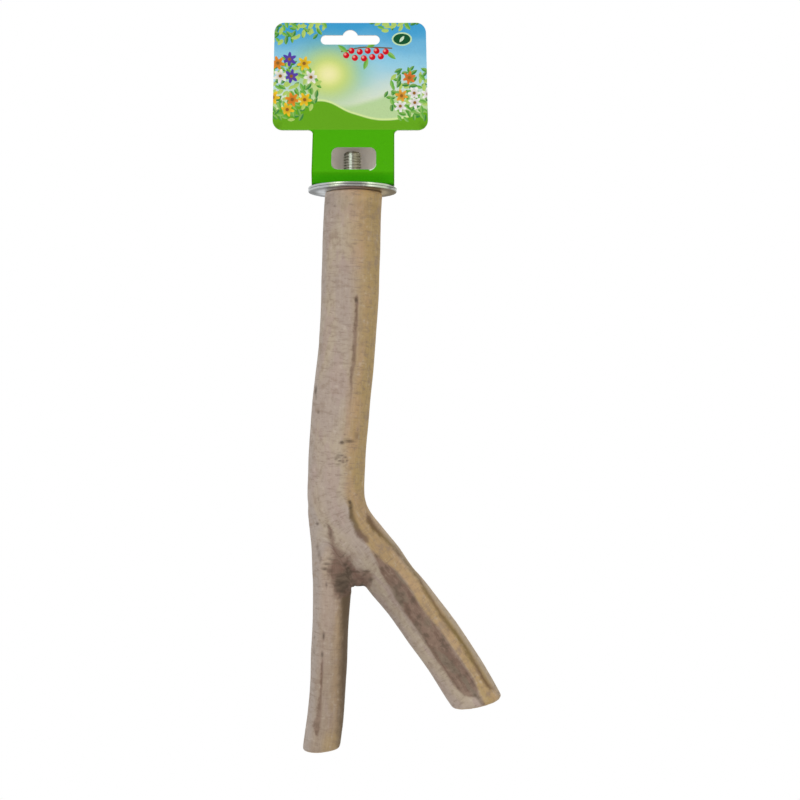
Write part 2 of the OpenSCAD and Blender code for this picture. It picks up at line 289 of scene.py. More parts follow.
class Value:
    """An output of a node, which is added, multiplied and compared as a number is."""

    def __init__(self, tree, socket):
        self.tree = tree
        self.socket = socket

    def __add__(self, other):
        return self.tree.maths("ADD", self, other)

    def __sub__(self, other):
        return self.tree.maths("SUBTRACT", self, other)

    def __rsub__(self, other):
        return self.tree.maths("SUBTRACT", other, self)

    def __mul__(self, other):
        return self.tree.maths("MULTIPLY", self, other)

    def __truediv__(self, other):
        return self.tree.maths("DIVIDE", self, other)

    def __lt__(self, other):
        return self.tree.maths("LESS_THAN", self, other)

    def __gt__(self, other):
        return self.tree.maths("GREATER_THAN", self, other)

    def __abs__(self):
        return self.tree.maths("ABSOLUTE", self)


class Tree:
    """Builds the nodes of a material or of the world, and passes their values from call to call."""

    def __init__(self, tree):
        self.tree = tree

    def node(self, kind, **settings):
        made = self.tree.nodes.new(kind)
        for key, value in settings.items():
            setattr(made, key, value)
        return made

    def out(self, node, output=0):
        return Value(self, node.outputs[output])

    def feed(self, socket, value):
        """Links a value to a socket, or sets the socket to a number or a colour."""
        if isinstance(value, Value):
            self.tree.links.new(value.socket, socket)
        elif socket.type == "RGBA":
            socket.default_value = (*value, 1)
        else:
            socket.default_value = value

    def fed(self, made, *values):
        """Feeds a node's inputs in their order, and gives its output."""
        for socket, value in zip(made.inputs, values):
            self.feed(socket, value)
        return self.out(made)

    def maths(self, operation, *terms):
        return self.fed(self.node("ShaderNodeMath", operation=operation), *terms)

    def most(self, first, *others):
        for other in others:
            first = self.maths("MAXIMUM", first, other)
        return first

    def reach(self, u, v):
        """Distance from the origin of a plane."""
        return self.maths("SQRT", u * u + v * v)

    def mix(self, share, first, second, blend="MIX"):
        made = self.node("ShaderNodeMix", data_type="RGBA", blend_type=blend)
        self.feed(made.inputs[0], share)
        self.feed(made.inputs[6], first)
        self.feed(made.inputs[7], second)
        return self.out(made, 2)

    def shade(self, share, colour, light):
        """Multiplies a colour by a number, in part or in full."""
        light = light if isinstance(light, Value) else (light, light, light)
        return self.mix(share, colour, light, "MULTIPLY")

    def ramp(self, value, low, high, start, end):
        """A smooth change from one number to another, between two levels of a value."""
        made = self.node("ShaderNodeMapRange", interpolation_type="SMOOTHSTEP")
        return self.fed(made, value, low, high, start, end)

    def step(self, value, low, high, strength=1.0):
        """A smooth step from nothing to a strength, between two levels of a value."""
        return self.ramp(value, low, high, 0.0, strength)

    def attribute(self, name, output="Fac"):
        return self.out(self.node("ShaderNodeAttribute", attribute_name=name), output)

    def place(self, kind="Object"):
        return self.out(self.node("ShaderNodeTexCoord"), kind)

    def split(self, vector):
        made = self.node("ShaderNodeSeparateXYZ")
        self.feed(made.inputs[0], vector)
        return self.out(made, 0), self.out(made, 1), self.out(made, 2)

    def join(self, x, y, z):
        return self.fed(self.node("ShaderNodeCombineXYZ"), x, y, z)

    def noise(self, vector, scale=1.0, detail=3.0, roughness=0.5):
        made = self.node("ShaderNodeTexNoise")
        settings = {"Vector": vector, "Scale": scale, "Detail": detail, "Roughness": roughness}
        for name, value in settings.items():
            self.feed(made.inputs[name], value)
        return self.out(made, "Fac")

    def patches(self, place, across, along, detail=3.0, roughness=0.5, shift=0.0):
        """Noise with patches about as wide across x and y, and as long along z, as given in metres."""
        made = self.node("ShaderNodeMapping")
        self.feed(made.inputs["Vector"], place)
        self.feed(made.inputs["Location"], (shift, shift, shift))
        self.feed(made.inputs["Scale"], (1 / across, 1 / across, 1 / along))
        return self.noise(self.out(made), detail=detail, roughness=roughness)

    def curve(self, value, points):
        """A smooth curve through points whose both values lie between 0 and 1."""
        made = self.node("ShaderNodeFloatCurve")
        self.feed(made.inputs["Value"], value)
        line = made.mapping.curves[0].points
        for _ in points[2:]:
            line.new(0.5, 0.5)
        for knot, point in zip(line, points):
            knot.location = point
            knot.handle_type = "AUTO_CLAMPED"
        made.mapping.update()
        return self.out(made)

    def palette(self, value, colours):
        """One of some colours, each for an equal share of the values from 0 to 1."""
        made = self.node("ShaderNodeValToRGB")
        self.feed(made.inputs[0], value)
        made.color_ramp.interpolation = "CONSTANT"
        stops = made.color_ramp.elements
        for _ in colours[2:]:
            stops.new(1.0)
        for i, colour in enumerate(colours):
            stops[i].position = i / len(colours)
            stops[i].color = (*colour, 1)
        return self.out(made)

    def show(self, share, first, second, output):
        """Sends a mix of two shaders to the surface."""
        both = self.fed(self.node("ShaderNodeMixShader"), share, self.out(first), self.out(second))
        self.feed(self.tree.nodes[output].inputs["Surface"], both)


class Finish(Tree):
    """A material on the standard shader."""

    SOCKETS = {
        "colour": "Base Color", "roughness": "Roughness", "metallic": "Metallic",
        "specular": "Specular IOR Level",
    }

    def __init__(self, name):
        self.material = bpy.data.materials.new(name)
        self.material.use_nodes = True
        super().__init__(self.material.node_tree)
        self.shader = self.tree.nodes["Principled BSDF"]

    def surface(self, **values):
        for name, value in values.items():
            self.feed(self.shader.inputs[self.SOCKETS[name]], value)
        return self.material

    def bump(self, height, distance, strength):
        made = self.node("ShaderNodeBump")
        self.feed(made.inputs["Strength"], strength)
        self.feed(made.inputs["Distance"], distance)
        self.feed(made.inputs["Height"], height)
        self.feed(self.shader.inputs["Normal"], self.out(made))


# The branch

# Middles of the limbs, from the sawn top down: depth as a share of the wood's height, then the
# places to the right and to the back as shares of the stem's diameter. Both begin in the stem.
STEM_SHARES = (
    (0.000, 0.018, 0.000), (0.090, -0.020, 0.000), (0.179, -0.041, 0.000), (0.269, -0.090, 0.000),
    (0.359, -0.180, 0.000), (0.439, -0.249, 0.000),
)
MAIN_LIMB_SHARES = STEM_SHARES + (
    (0.498, -0.279, 0.000), (0.543, -0.284, 0.000), (0.588, -0.072, 0.000), (0.632, 0.248, 0.000),
    (0.675, 0.556, -0.010), (0.725, 0.976, -0.030), (0.796, 1.487, -0.080), (0.852, 1.855, -0.120),
    (0.907, 2.190, -0.150),
)
THIN_LIMB_SHARES = STEM_SHARES + (
    (0.498, -0.300, 0.000), (0.558, -0.350, 0.000), (0.628, -0.362, 0.010), (0.698, -0.352, 0.035),
    (0.810, -0.402, 0.110), (0.925, -0.468, 0.190), (0.997, -0.555, 0.230),
)

# Spots in the bark's front: share of the way along the limb, share of the stem's radius across,
# half height and half width as shares of that radius, and darkness. Thin ones are on the thin leg.
MAIN_SPOT_SHARES = (
    (0.031, -0.600, 0.05, 0.05, 0.6), (0.037, -0.790, 0.04, 0.07, 0.4), (0.048, -0.355, 0.04, 0.07, 0.35),
    (0.077, -0.158, 0.04, 0.08, 0.3), (0.130, 0.040, 0.05, 0.10, 0.35), (0.144, -0.471, 0.04, 0.08, 0.3),
    (0.197, 0.262, 0.10, 0.060, 0.9), (0.225, -0.145, 0.03, 0.09, 0.35), (0.236, -0.407, 0.03, 0.08, 0.3),
    (0.250, -0.185, 0.05, 0.07, 0.35), (0.311, 0.023, 0.05, 0.06, 0.3), (0.322, 0.023, 0.03, 0.08, 0.3),
    (0.362, -0.900, 0.20, 0.06, 0.8), (0.374, -0.860, 0.12, 0.05, 0.5), (0.358, -0.010, 0.04, 0.07, 0.4),
    (0.361, -0.455, 0.04, 0.06, 0.3), (0.372, -0.119, 0.04, 0.08, 0.35), (0.400, -0.720, 0.06, 0.06, 0.7),
    (0.449, 0.181, 0.07, 0.09, 1.0), (0.446, 0.440, 0.07, 0.24, 0.8), (0.459, 0.780, 0.05, 0.09, 0.35),
    (0.436, 0.670, 0.22, 0.14, 0.5), (0.468, 0.120, 0.04, 0.12, 0.6), (0.479, 0.009, 0.06, 0.08, 0.7),
    (0.474, 0.080, 0.05, 0.11, 0.7), (0.472, 0.200, 0.05, 0.11, 0.7), (0.475, 0.330, 0.06, 0.08, 0.7),
    (0.481, 0.390, 0.07, 0.06, 0.7), (0.483, 0.270, 0.05, 0.10, 0.7), (0.482, 0.140, 0.05, 0.09, 0.7),
    (0.489, -0.190, 0.04, 0.12, 0.5), (0.489, 0.086, 0.05, 0.13, 0.6), (0.491, 0.320, 0.04, 0.08, 0.5),
    (0.504, -0.245, 0.04, 0.05, 0.35), (0.506, 0.471, 0.04, 0.07, 0.4), (0.513, 0.170, 0.04, 0.06, 0.5),
    (0.546, -0.560, 0.07, 0.05, 0.45), (0.566, 0.449, 0.08, 0.050, 1.0), (0.577, 0.370, 0.04, 0.08, 0.8),
    (0.590, 0.280, 0.03, 0.08, 0.6), (0.600, -0.060, 0.03, 0.09, 0.35), (0.980, 0.400, 0.04, 0.05, 0.35),
)
THIN_SPOT_SHARES = (
    (0.787, -0.207, 0.17, 0.055, 0.8), (0.821, -0.226, 0.14, 0.055, 0.8), (0.793, -0.525, 0.07, 0.04, 0.6),
    (0.821, -0.515, 0.07, 0.04, 0.6), (0.851, -0.523, 0.06, 0.04, 0.45),
)
# Spots around the fork, seen from the front: depth under the wood's top as a share of its height,
# place to the right as a share of the stem's radius, then half height, half width and darkness as above
FORK_SPOT_SHARES = (
    (0.5830, -0.406, 0.03, 0.09, 0.5), (0.5890, -0.406, 0.03, 0.08, 0.4), (0.5880, -1.190, 0.07, 0.08, 0.7),
    (0.5910, -0.930, 0.08, 0.07, 0.5), (0.6040, -0.720, 0.20, 0.06, 0.5), (0.6250, -0.908, 0.03, 0.28, 0.6),
    (0.6300, -1.190, 0.16, 0.06, 0.5), (0.6410, -1.130, 0.22, 0.09, 0.5), (0.6510, -1.080, 0.14, 0.07, 0.5),
    (0.6488, -0.760, 0.05, 0.13, 0.7), (0.6579, -0.870, 0.05, 0.16, 0.8), (0.6671, -0.940, 0.06, 0.14, 0.8),
    (0.6707, -0.720, 0.12, 0.12, 0.5), (0.6954, -0.880, 0.16, 0.05, 0.6), (0.6602, -0.240, 0.06, 0.10, 0.8),
    (0.6670, -0.140, 0.06, 0.09, 0.8), (0.6730, -0.050, 0.07, 0.09, 0.9), (0.6730, 0.150, 0.03, 0.16, 0.8),
    (0.6700, 0.480, 0.05, 0.20, 0.7), (0.6859, 0.640, 0.12, 0.09, 0.7), (0.6850, 0.300, 0.05, 0.20, 0.4),
)

# Outline of the rough bark at the fork, seen from the front: shares of the stem's diameter to the
# right, and of the wood's height down from its top. The second outline is its darkest part.
CROTCH_SHARES = (
    (-0.394, 0.590), (-0.351, 0.595), (-0.317, 0.609), (-0.275, 0.623), (-0.215, 0.630), (-0.129, 0.639),
    (-0.045, 0.646), (0.014, 0.655), (0.049, 0.664), (0.117, 0.669), (0.211, 0.667), (0.296, 0.668),
    (0.356, 0.675), (0.346, 0.686), (0.293, 0.700), (0.102, 0.706), (-0.121, 0.716), (-0.240, 0.722),
    (-0.307, 0.708), (-0.356, 0.687), (-0.407, 0.677), (-0.414, 0.668), (-0.362, 0.659), (-0.344, 0.646),
    (-0.351, 0.630), (-0.386, 0.613), (-0.411, 0.599),
)
CROTCH_CORE_SHARES = (
    (-0.300, 0.680), (-0.180, 0.673), (-0.070, 0.666), (-0.010, 0.675), (0.005, 0.686), (-0.040, 0.700),
    (-0.120, 0.712), (-0.207, 0.716), (-0.300, 0.702), (-0.320, 0.690),
)

# Depths between which the limbs part, as shares of the wood's height
FORK_SHARES = (0.56, 0.66)
# Half width of the blend between the limbs, as a share of their radii
BLEND_SHARE = 0.12
# Length of a leg's end in which its sawn face lies, and the same for the top
END_L = 4 * MM
TOP_L = 0.5 * MM
# The rough bark: how far outside its outline it begins, and how far inside it is at its roughest
ROUGH_OUTSIDE = 3 * MM
ROUGH_INSIDE = 1.5 * MM
# The arch between the legs, whose downward faces take the dark core's colour as painted shade: how far
# outside the outline it reaches, and how deep it counts as
ARCH_OUTSIDE = 2 * MM
ARCH_DEPTH = 1.5 * MM


def limb_line(shares, steps=6):
    """Points along the middle of a limb, on a smooth curve through its shares."""
    rows = np.array([
        (right * STEM_D, back * STEM_D, WOOD_TOP - depth * WOOD_HEIGHT) for depth, right, back in shares])
    padded = np.vstack([2 * rows[0] - rows[1], rows, 2 * rows[-1] - rows[-2]])
    line = []
    for a, b, c, d in zip(padded, padded[1:], padded[2:], padded[3:]):
        slope = (c - a) / 2
        bend = a - 2.5 * b + 2 * c - d / 2
        turn_back = 1.5 * (b - c) + (d - a) / 2
        for f in np.arange(steps) / steps:
            line.append(b + f * slope + f ** 2 * bend + f ** 3 * turn_back)
    return np.array(line + [rows[-1]])


def limb_places(points, line):
    """Each point's place on a limb: across to the right, to the back, and along from the top."""
    starts, edges = line[:-1], line[1:] - line[:-1]
    lengths = np.linalg.norm(edges, axis=1)
    tangents = np.gradient(line, axis=0)
    tangents /= np.linalg.norm(tangents, axis=1)[:, None]
    alongs = np.concatenate([[0], np.cumsum(lengths)])
    offsets = points[:, None, :] - starts[None]
    share = np.clip((offsets * edges).sum(2) / lengths ** 2, 0, 1)
    gaps = np.linalg.norm(offsets - share[..., None] * edges, axis=2)
    nearest = gaps.argmin(1)
    rows = np.arange(len(points))
    s = share[rows, nearest][:, None]
    middle = starts[nearest] + s * edges[nearest]
    ahead = tangents[nearest] * (1 - s) + tangents[nearest + 1] * s
    ahead /= np.linalg.norm(ahead, axis=1)[:, None]
    local = points - middle
    across = -ahead[:, 2] * local[:, 0] + ahead[:, 0] * local[:, 2]
    past_end = (local * ahead).sum(1)
    along = alongs[nearest] + s[:, 0] * lengths[nearest] + past_end
    return np.stack([across, local[:, 1], along], 1), alongs[-1]


def depth_inside(points, outline_shares):
    """How deep each point lies inside an outline seen from the front, below 0 outside it."""
    outline = np.array([(right * STEM_D, WOOD_TOP - depth * WOOD_HEIGHT) for right, depth in outline_shares])
    flat = points[:, [0, 2]]
    nearest = np.full(len(flat), np.inf)
    inside = np.zeros(len(flat), bool)
    for a, b in zip(outline, np.roll(outline, -1, axis=0)):
        edge = b - a
        offset = flat - a
        share = np.clip(offset @ edge / (edge @ edge), 0, 1)
        nearest = np.minimum(nearest, np.linalg.norm(offset - share[:, None] * edge, axis=1))
        crosses = (a[1] > flat[:, 1]) != (b[1] > flat[:, 1])
        right_of = flat[:, 0] < a[0] + edge[0] * (flat[:, 1] - a[1]) / (edge[1] if edge[1] else 1)
        inside ^= crosses & right_of
    return np.where(inside, nearest, -nearest)


def spot_darkness(places, limb_length, rows):
    """The darkest spot at each place on a limb's front, from 0 to 1."""
    across, back, along = places.T
    darkest = np.zeros(len(places))
    for middle_along, middle_across, half_along, half_across, darkness in rows:
        reach = np.hypot(
            (along - middle_along * limb_length) / (half_along * MAIN_R),
            (across - middle_across * MAIN_R) / (half_across * MAIN_R))
        darkest = np.maximum(darkest, darkness * np.exp(-reach ** 2) * (back < 0))
    return darkest


def swell(place, scale, stretch=1):
    """A smooth random height, whose swells are longer along the limb by a stretch."""
    across, back, along = place
    return noise.noise(Vector((across / scale, back / scale, along / (scale * stretch))))


def bark_relief(place, rough, looks):
    """Height of the bark: slow swells, fine lengthwise ridges, and wrinkles at the fork."""
    slow = swell(place, 17 * MM)
    ridges = swell(place, 2.6 * MM, 15)
    wrinkles = swell(place, 4.5 * MM, 0.3) + swell(place, 2 * MM)
    return looks.relief * (slow + 0.35 * ridges + 1.4 * rough * wrinkles)


def sawn_shares(points, normals, past_end):
    """1 on the sawn faces and 0 on the bark, with a soft change over their rounded edges."""
    low_ends = np.where(past_end > 0, smoothstep(0.6, 0.8, -normals[:, 2]), 0)
    top_end = smoothstep(0.5, 0.8, normals[:, 2])
    return np.where(points[:, 2] > WOOD_TOP - TOP_L, top_end, low_ends)


def make_branch(looks):
    wood = copy_of_node("branch", "natural_branch")
    apply_modifier(wood, "REMESH", mode="VOXEL", voxel_size=looks.grain_size)
    apply_modifier(wood, "SMOOTH", factor=0.5, iterations=8)
    points = vertices_of(wood)
    normals = vertices_of(wood, "normal")
    main, main_length = limb_places(points, limb_line(MAIN_LIMB_SHARES))
    thin, thin_length = limb_places(points, limb_line(THIN_LIMB_SHARES))
    gap = np.hypot(main[:, 0], main[:, 1]) / MAIN_R - np.hypot(thin[:, 0], thin[:, 1]) / THIN_R
    below_fork = smoothstep(*FORK_SHARES, (WOOD_TOP - points[:, 2]) / WOOD_HEIGHT)
    on_thin = smoothstep(-BLEND_SHARE, BLEND_SHARE, gap) * below_fork
    places = main + on_thin[:, None] * (thin - main)

    crotch = depth_inside(points, CROTCH_SHARES)
    # Painted shade: faces that look down under the arch between the legs count as deep in the dark core
    arch_underside_shade = (crotch > -ARCH_OUTSIDE) & (normals[:, 2] < -0.80)
    core = np.where(arch_underside_shade, ARCH_DEPTH, depth_inside(points, CROTCH_CORE_SHARES))
    from_front = np.stack([points[:, 0], points[:, 1], WOOD_TOP - points[:, 2]], 1)
    spots = np.maximum.reduce([
        spot_darkness(main, main_length, MAIN_SPOT_SHARES) * (1 - on_thin),
        spot_darkness(thin, thin_length, THIN_SPOT_SHARES) * on_thin,
        spot_darkness(from_front, WOOD_HEIGHT, FORK_SPOT_SHARES)])

    past_end = np.where(on_thin > 0.5, thin[:, 2] - thin_length, main[:, 2] - main_length) + END_L
    sawn = sawn_shares(points, normals, past_end)
    rough = smoothstep(-ROUGH_OUTSIDE, ROUGH_INSIDE, crotch)
    heights = np.array([bark_relief(place, r, looks) for place, r in zip(places, rough)])
    heights -= looks.relief * spots
    points += normals * (heights * (1 - sawn))[:, None]
    points[:, 2] = np.clip(points[:, 2], WOOD_LOW.z, WOOD_TOP)
    move_vertices(wood, points)

    paint(wood, "limb", places)
    paint(wood, "thin_leg", on_thin)
    paint(wood, "sawn", sawn)
    paint(wood, "spots", spots)
    paint(wood, "crotch", crotch)
    paint(wood, "crotch_core_and_arch_shade", core)
    select_only(wood)
    bpy.ops.object.shade_smooth()
    wood.data.materials.append(Bark(looks, main_length).finished())
    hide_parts("branch")
    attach(wood, "perch")


# Marks that run along the bark's front. Each row is a share of the main limb's length, then the
# mark's middle and half width across as shares of the stem's radius, then its darkness.
STEM_STREAK_SHARES = (
    (0.186, 0.255, 0.000, 0.0), (0.194, 0.262, 0.055, 1.0), (0.206, 0.277, 0.048, 0.9),
    (0.230, 0.288, 0.060, 0.8), (0.255, 0.276, 0.062, 0.75), (0.280, 0.299, 0.062, 0.75),
    (0.302, 0.312, 0.075, 0.7), (0.325, 0.282, 0.055, 0.8), (0.354, 0.329, 0.027, 0.6),
    (0.389, 0.351, 0.017, 0.15), (0.418, 0.366, 0.000, 0.0),
)
FORK_STREAK_SHARES = (
    (0.558, 0.450, 0.000, 0.0), (0.566, 0.449, 0.050, 1.0), (0.576, 0.395, 0.070, 1.0),
    (0.591, 0.290, 0.090, 1.0), (0.600, 0.250, 0.090, 0.9), (0.610, 0.222, 0.096, 0.9),
    (0.627, 0.164, 0.110, 1.0), (0.640, 0.205, 0.115, 0.9), (0.649, 0.200, 0.000, 0.5),
)
EDGE_STREAK_SHARES = (
    (0.594, 0.745, 0.000, 0.0), (0.606, 0.730, 0.040, 0.6), (0.622, 0.684, 0.085, 1.0),
    (0.635, 0.660, 0.075, 1.0), (0.649, 0.688, 0.052, 1.0), (0.665, 0.737, 0.048, 0.9),
    (0.699, 0.810, 0.044, 0.8), (0.753, 0.780, 0.050, 0.9), (0.782, 0.697, 0.055, 0.9),
    (0.815, 0.645, 0.058, 0.85), (0.846, 0.637, 0.062, 0.9), (0.878, 0.670, 0.065, 0.9),
    (0.941, 0.632, 0.069, 0.85), (0.966, 0.617, 0.069, 0.9), (0.984, 0.665, 0.055, 0.7),
    (0.995, 0.690, 0.000, 0.0),
)
BAND_SHARES = (
    (0.662, 0.160, 0.000, 0.0), (0.671, 0.162, 0.035, 1.0), (0.695, 0.135, 0.135, 1.0),
    (0.720, 0.140, 0.250, 0.95), (0.744, 0.090, 0.280, 0.95), (0.767, 0.015, 0.315, 1.0),
    (0.807, -0.030, 0.280, 1.0), (0.850, -0.022, 0.332, 1.0), (0.889, -0.037, 0.337, 0.95),
    (0.942, -0.010, 0.335, 0.95), (0.963, 0.020, 0.270, 0.9), (0.975, 0.075, 0.175, 0.9),
    (0.985, 0.150, 0.050, 0.8), (1.000, 0.160, 0.045, 0.8),
)
# The thin leg's dark right side is painted shade, where it turns into the gap between the legs
THIN_SHADE_SHARES = (
    (0.640, 0.560, 0.000, 0.0), (0.690, 0.535, 0.215, 1.0), (0.745, 0.535, 0.215, 1.0),
    (0.778, 0.564, 0.186, 1.0), (0.850, 0.574, 0.176, 1.0), (0.889, 0.588, 0.170, 1.0),
    (0.923, 0.610, 0.155, 1.0), (0.957, 0.630, 0.135, 1.0), (1.000, 0.650, 0.090, 0.9),
)
THIN_STREAK_SHARES = (
    (0.834, -0.220, 0.000, 0.0), (0.844, -0.219, 0.040, 0.9), (0.872, -0.212, 0.048, 1.0),
    (0.890, -0.212, 0.045, 0.8), (0.905, -0.210, 0.052, 0.75), (0.925, -0.205, 0.060, 0.75),
    (0.942, -0.220, 0.080, 0.65), (0.958, -0.250, 0.120, 0.65), (0.970, -0.230, 0.090, 0.8),
    (0.982, -0.200, 0.000, 0.0),
)
# Where the grey side ends and the tan side begins, and half of the width of the change
WARM_EDGE_SHARES = (
    (0.000, -0.030, 0.550), (0.070, 0.070, 0.500), (0.143, 0.220, 0.450), (0.195, 0.300, 0.380),
    (0.283, 0.330, 0.340), (0.354, 0.335, 0.300), (0.390, 0.300, 0.280), (0.447, 0.290, 0.280),
    (0.482, 0.356, 0.260), (0.535, 0.390, 0.220), (0.562, 0.374, 0.120), (0.590, 0.281, 0.080),
    (0.628, 0.150, 0.080), (0.670, 0.134, 0.080), (0.700, 0.250, 0.080), (0.724, 0.386, 0.080),
    (0.764, 0.340, 0.080), (0.800, 0.240, 0.080), (0.850, 0.300, 0.080), (0.947, 0.325, 0.080),
    (0.969, 0.270, 0.080), (1.000, 0.170, 0.100),
)
# Brightness of the main limb's grey side and of its warm side, along its length
GREY_LIGHT_SHARES = (
    (0.00, 0.95), (0.15, 0.97), (0.60, 1.00), (0.66, 0.90), (0.72, 0.82), (0.80, 0.90), (1.00, 1.00),
)
WARM_LIGHT_SHARES = ((0.00, 1.00), (0.52, 1.00), (0.60, 0.91), (0.68, 0.92), (0.76, 1.00), (1.00, 1.00))

# Layers of colour. Each row is the value that places it, the two levels between which it grows, its
# strength, and the name of its colour.
GREY_LAYERS = (
    ("broad", 0.42, 0.60, 1.00, "beige_bark"), ("hue", 0.50, 0.62, 0.75, "rosy_bark"),
    ("across", -0.70, -0.95, 0.60, "grey_edge"),
)
WARM_LAYERS = (("hue", 0.46, 0.60, 1.00, "orange_bark"), ("broad", 0.52, 0.36, 0.70, "olive_bark"))
THIN_LAYERS = (("rough_across", 0.00, 0.35, 1.00, "thin_tan"), ("hue", 0.50, 0.64, 0.40, "rosy_bark"))
THIN_EDGE_LAYERS = (("across", -0.22, -0.55, 1.00, "thin_edge"),)
MARK_LAYERS = (
    ("mottle", 0.50, 0.75, 0.50, "fleck"), ("mottle", 0.45, 0.25, 0.40, "pale_fleck"),
    ("ticks", 0.55, 0.70, 0.42, "tick"), ("wrinkles", 0.53, 0.74, 0.42, "wrinkle"),
    ("smudges", 0.52, 0.68, 0.55, "smudge"), ("fibres", 0.45, 0.75, 0.18, "fibre"),
)
BAND_LAYERS = (
    ("grooves", 0.42, 0.60, 1.00, "worn_band"), ("hue", 0.50, 0.60, 0.80, "grey_band"),
    ("mottle", 0.50, 0.66, 0.60, "pith"), ("mottle", 0.46, 0.34, 0.50, "pale_band"),
)
CROTCH_LAYERS = (
    ("grooves", 0.40, 0.62, 1.00, "pale_crotch"), ("wrinkles", 0.50, 0.66, 0.70, "crotch_wrinkle"),
)
CORE_LAYERS = (("wrinkles", 0.40, 0.60, 1.00, "pith"),)
EDGE_LINE_LAYERS = (("hue", 0.44, 0.58, 1.00, "dark_edge_line"),)
FORK_LINE_LAYERS = (("along", 0.605, 0.630, 1.00, "low_fork_line"),)
STREAK_LAYERS = (("mottle", 0.42, 0.60, 1.00, "streak"),)

# Added to a curve of small widths and taken off again, because a curve is cut off under 0
ROOM = 0.05
# How far the rough bark's outline is torn in and out together, and how far apart growth rings are
TORN = 5 * MM
RING_GAP = 1.3 * MM


class Bark(Finish):
    """The bark's material. It reads places across, to the back and along from the branch's attributes."""

    def __init__(self, looks, main_length):
        super().__init__("rubbed bark")
        self.looks = looks
        self.limb = self.attribute("limb", "Vector")
        self.across_m, self.back_m, along_m = self.split(self.limb)
        self.thin = self.attribute("thin_leg")
        front = self.step(self.back_m, 2 * MM, -2 * MM)
        self.on_main = (1.0 - self.thin) * front
        self.on_thin = self.thin * front
        self.hue = self.patches(self.limb, 5 * MM, 15 * MM, shift=3.0)
        self.broad = self.patches(self.limb, 13 * MM, 34 * MM, shift=11.0)
        self.mottle = self.patches(self.limb, 2.5 * MM, 3 * MM, detail=4.0, roughness=0.62)
        self.smudges = self.patches(self.limb, 8 * MM, 6 * MM, detail=5.0, roughness=0.7, shift=9.0)
        self.ticks = self.patches(self.limb, 3.8 * MM, 0.85 * MM, roughness=0.6)
        self.wrinkles = self.patches(self.limb, 8 * MM, 1.6 * MM, detail=4.0, roughness=0.6)
        self.fibres = self.patches(self.limb, 0.7 * MM, 11 * MM, roughness=0.6)
        self.grooves = self.patches(self.limb, 2.6 * MM, 17 * MM, detail=4.0, roughness=0.6, shift=5.0)
        self.across = self.across_m / MAIN_R
        self.along = along_m / main_length
        self.rough_across = self.across + (self.mottle - 0.5) * 0.16

    def layered(self, colour, layers):
        """Lays a table's colours over a colour, one after another."""
        for value, low, high, strength, name in layers:
            share = self.step(getattr(self, value), low, high, strength)
            colour = self.mix(share, colour, getattr(self.looks, name))
        return colour

    def right_of(self, rows, across):
        """How far a place lies to the right of a line that the rows give, in radii of the stem."""
        line = self.curve(self.along, [(row[0], 0.5 + 0.5 * row[1]) for row in rows])
        return across - (line * 2.0 - 1.0)

    def mark(self, rows, feather, across=None):
        """How dark a mark is at a place, from 0 to 1."""
        offset = self.right_of(rows, self.rough_across if across is None else across)
        half = self.curve(self.along, [(row[0], ROOM + row[2]) for row in rows]) - ROOM
        darkness = self.curve(self.along, [(row[0], row[3]) for row in rows])
        return self.step(half - abs(offset), -feather, feather) * darkness

    def grey_side(self):
        grey = self.layered(self.looks.grey_bark, GREY_LAYERS)
        return self.shade(1.0, grey, self.curve(self.along, GREY_LIGHT_SHARES))

    def warm_side(self):
        """Tan with green patches on the stem's right edge, and a pale outer strip on the thick leg."""
        warm = self.layered(self.looks.tan_bark, WARM_LAYERS)
        olive_rim = self.step(self.across, 0.66, 0.80) * self.step(self.along, 0.56, 0.50, 0.7)
        warm = self.mix(olive_rim, warm, self.looks.olive_bark)
        outer = self.step(self.across, 0.64, 0.86) * self.step(self.along, 0.58, 0.70)
        outer = outer * self.step(self.back_m, 4 * MM, -5 * MM)
        warm = self.mix(outer, warm, self.looks.outer_bark)
        return self.shade(1.0, warm, self.curve(self.along, WARM_LIGHT_SHARES))

    def thin_side(self):
        """The thin leg: pale grey on its left edge, beige in the middle, darker towards its end."""
        thin = self.layered(self.looks.thin_beige, THIN_LAYERS)
        thin = self.shade(self.step(self.along, 0.68, 0.92), thin, 0.86)
        low_olive = self.step(self.along, 0.955, 0.985, 0.45) * self.step(self.across, -0.10, 0.15)
        thin = self.mix(low_olive, thin, self.looks.olive_bark)
        return self.layered(thin, THIN_EDGE_LAYERS)

    def ground(self):
        """The colour under the marks, with its lenticels, wrinkles and fibres, and painted light just under
        the washer.
        """
        side = self.right_of(WARM_EDGE_SHARES, self.rough_across)
        width = self.curve(self.along, [(along, half) for along, _, half in WARM_EDGE_SHARES])
        ground = self.mix(self.step(side / width, -1.0, 1.0), self.grey_side(), self.warm_side())
        ground = self.layered(self.mix(self.thin, ground, self.thin_side()), MARK_LAYERS)
        # Painted light: the bark just under the washer is lightened, up to 1.8 times, against the washer's
        # shadow.
        lit_under_washer = self.step(self.along, 0.030, 0.0) * self.ramp(self.across, 0.9, 0.2, 0.5, 1.0)
        return self.shade(lit_under_washer, ground, 1.8)

    def with_bands(self, colour):
        """Adds the rubbed band on the thick leg, and painted shade on the thin one's right side."""
        streaky = self.across + (self.fibres - 0.5) * 0.14
        band = self.mark(BAND_SHARES, 0.07, streaky) * self.on_main * 0.94
        colour = self.mix(band, colour, self.layered(self.looks.dark_bark, BAND_LAYERS))
        shade = self.mark(THIN_SHADE_SHARES, 0.15) * self.on_thin * 0.96
        return self.mix(shade, colour, self.looks.thin_shade)

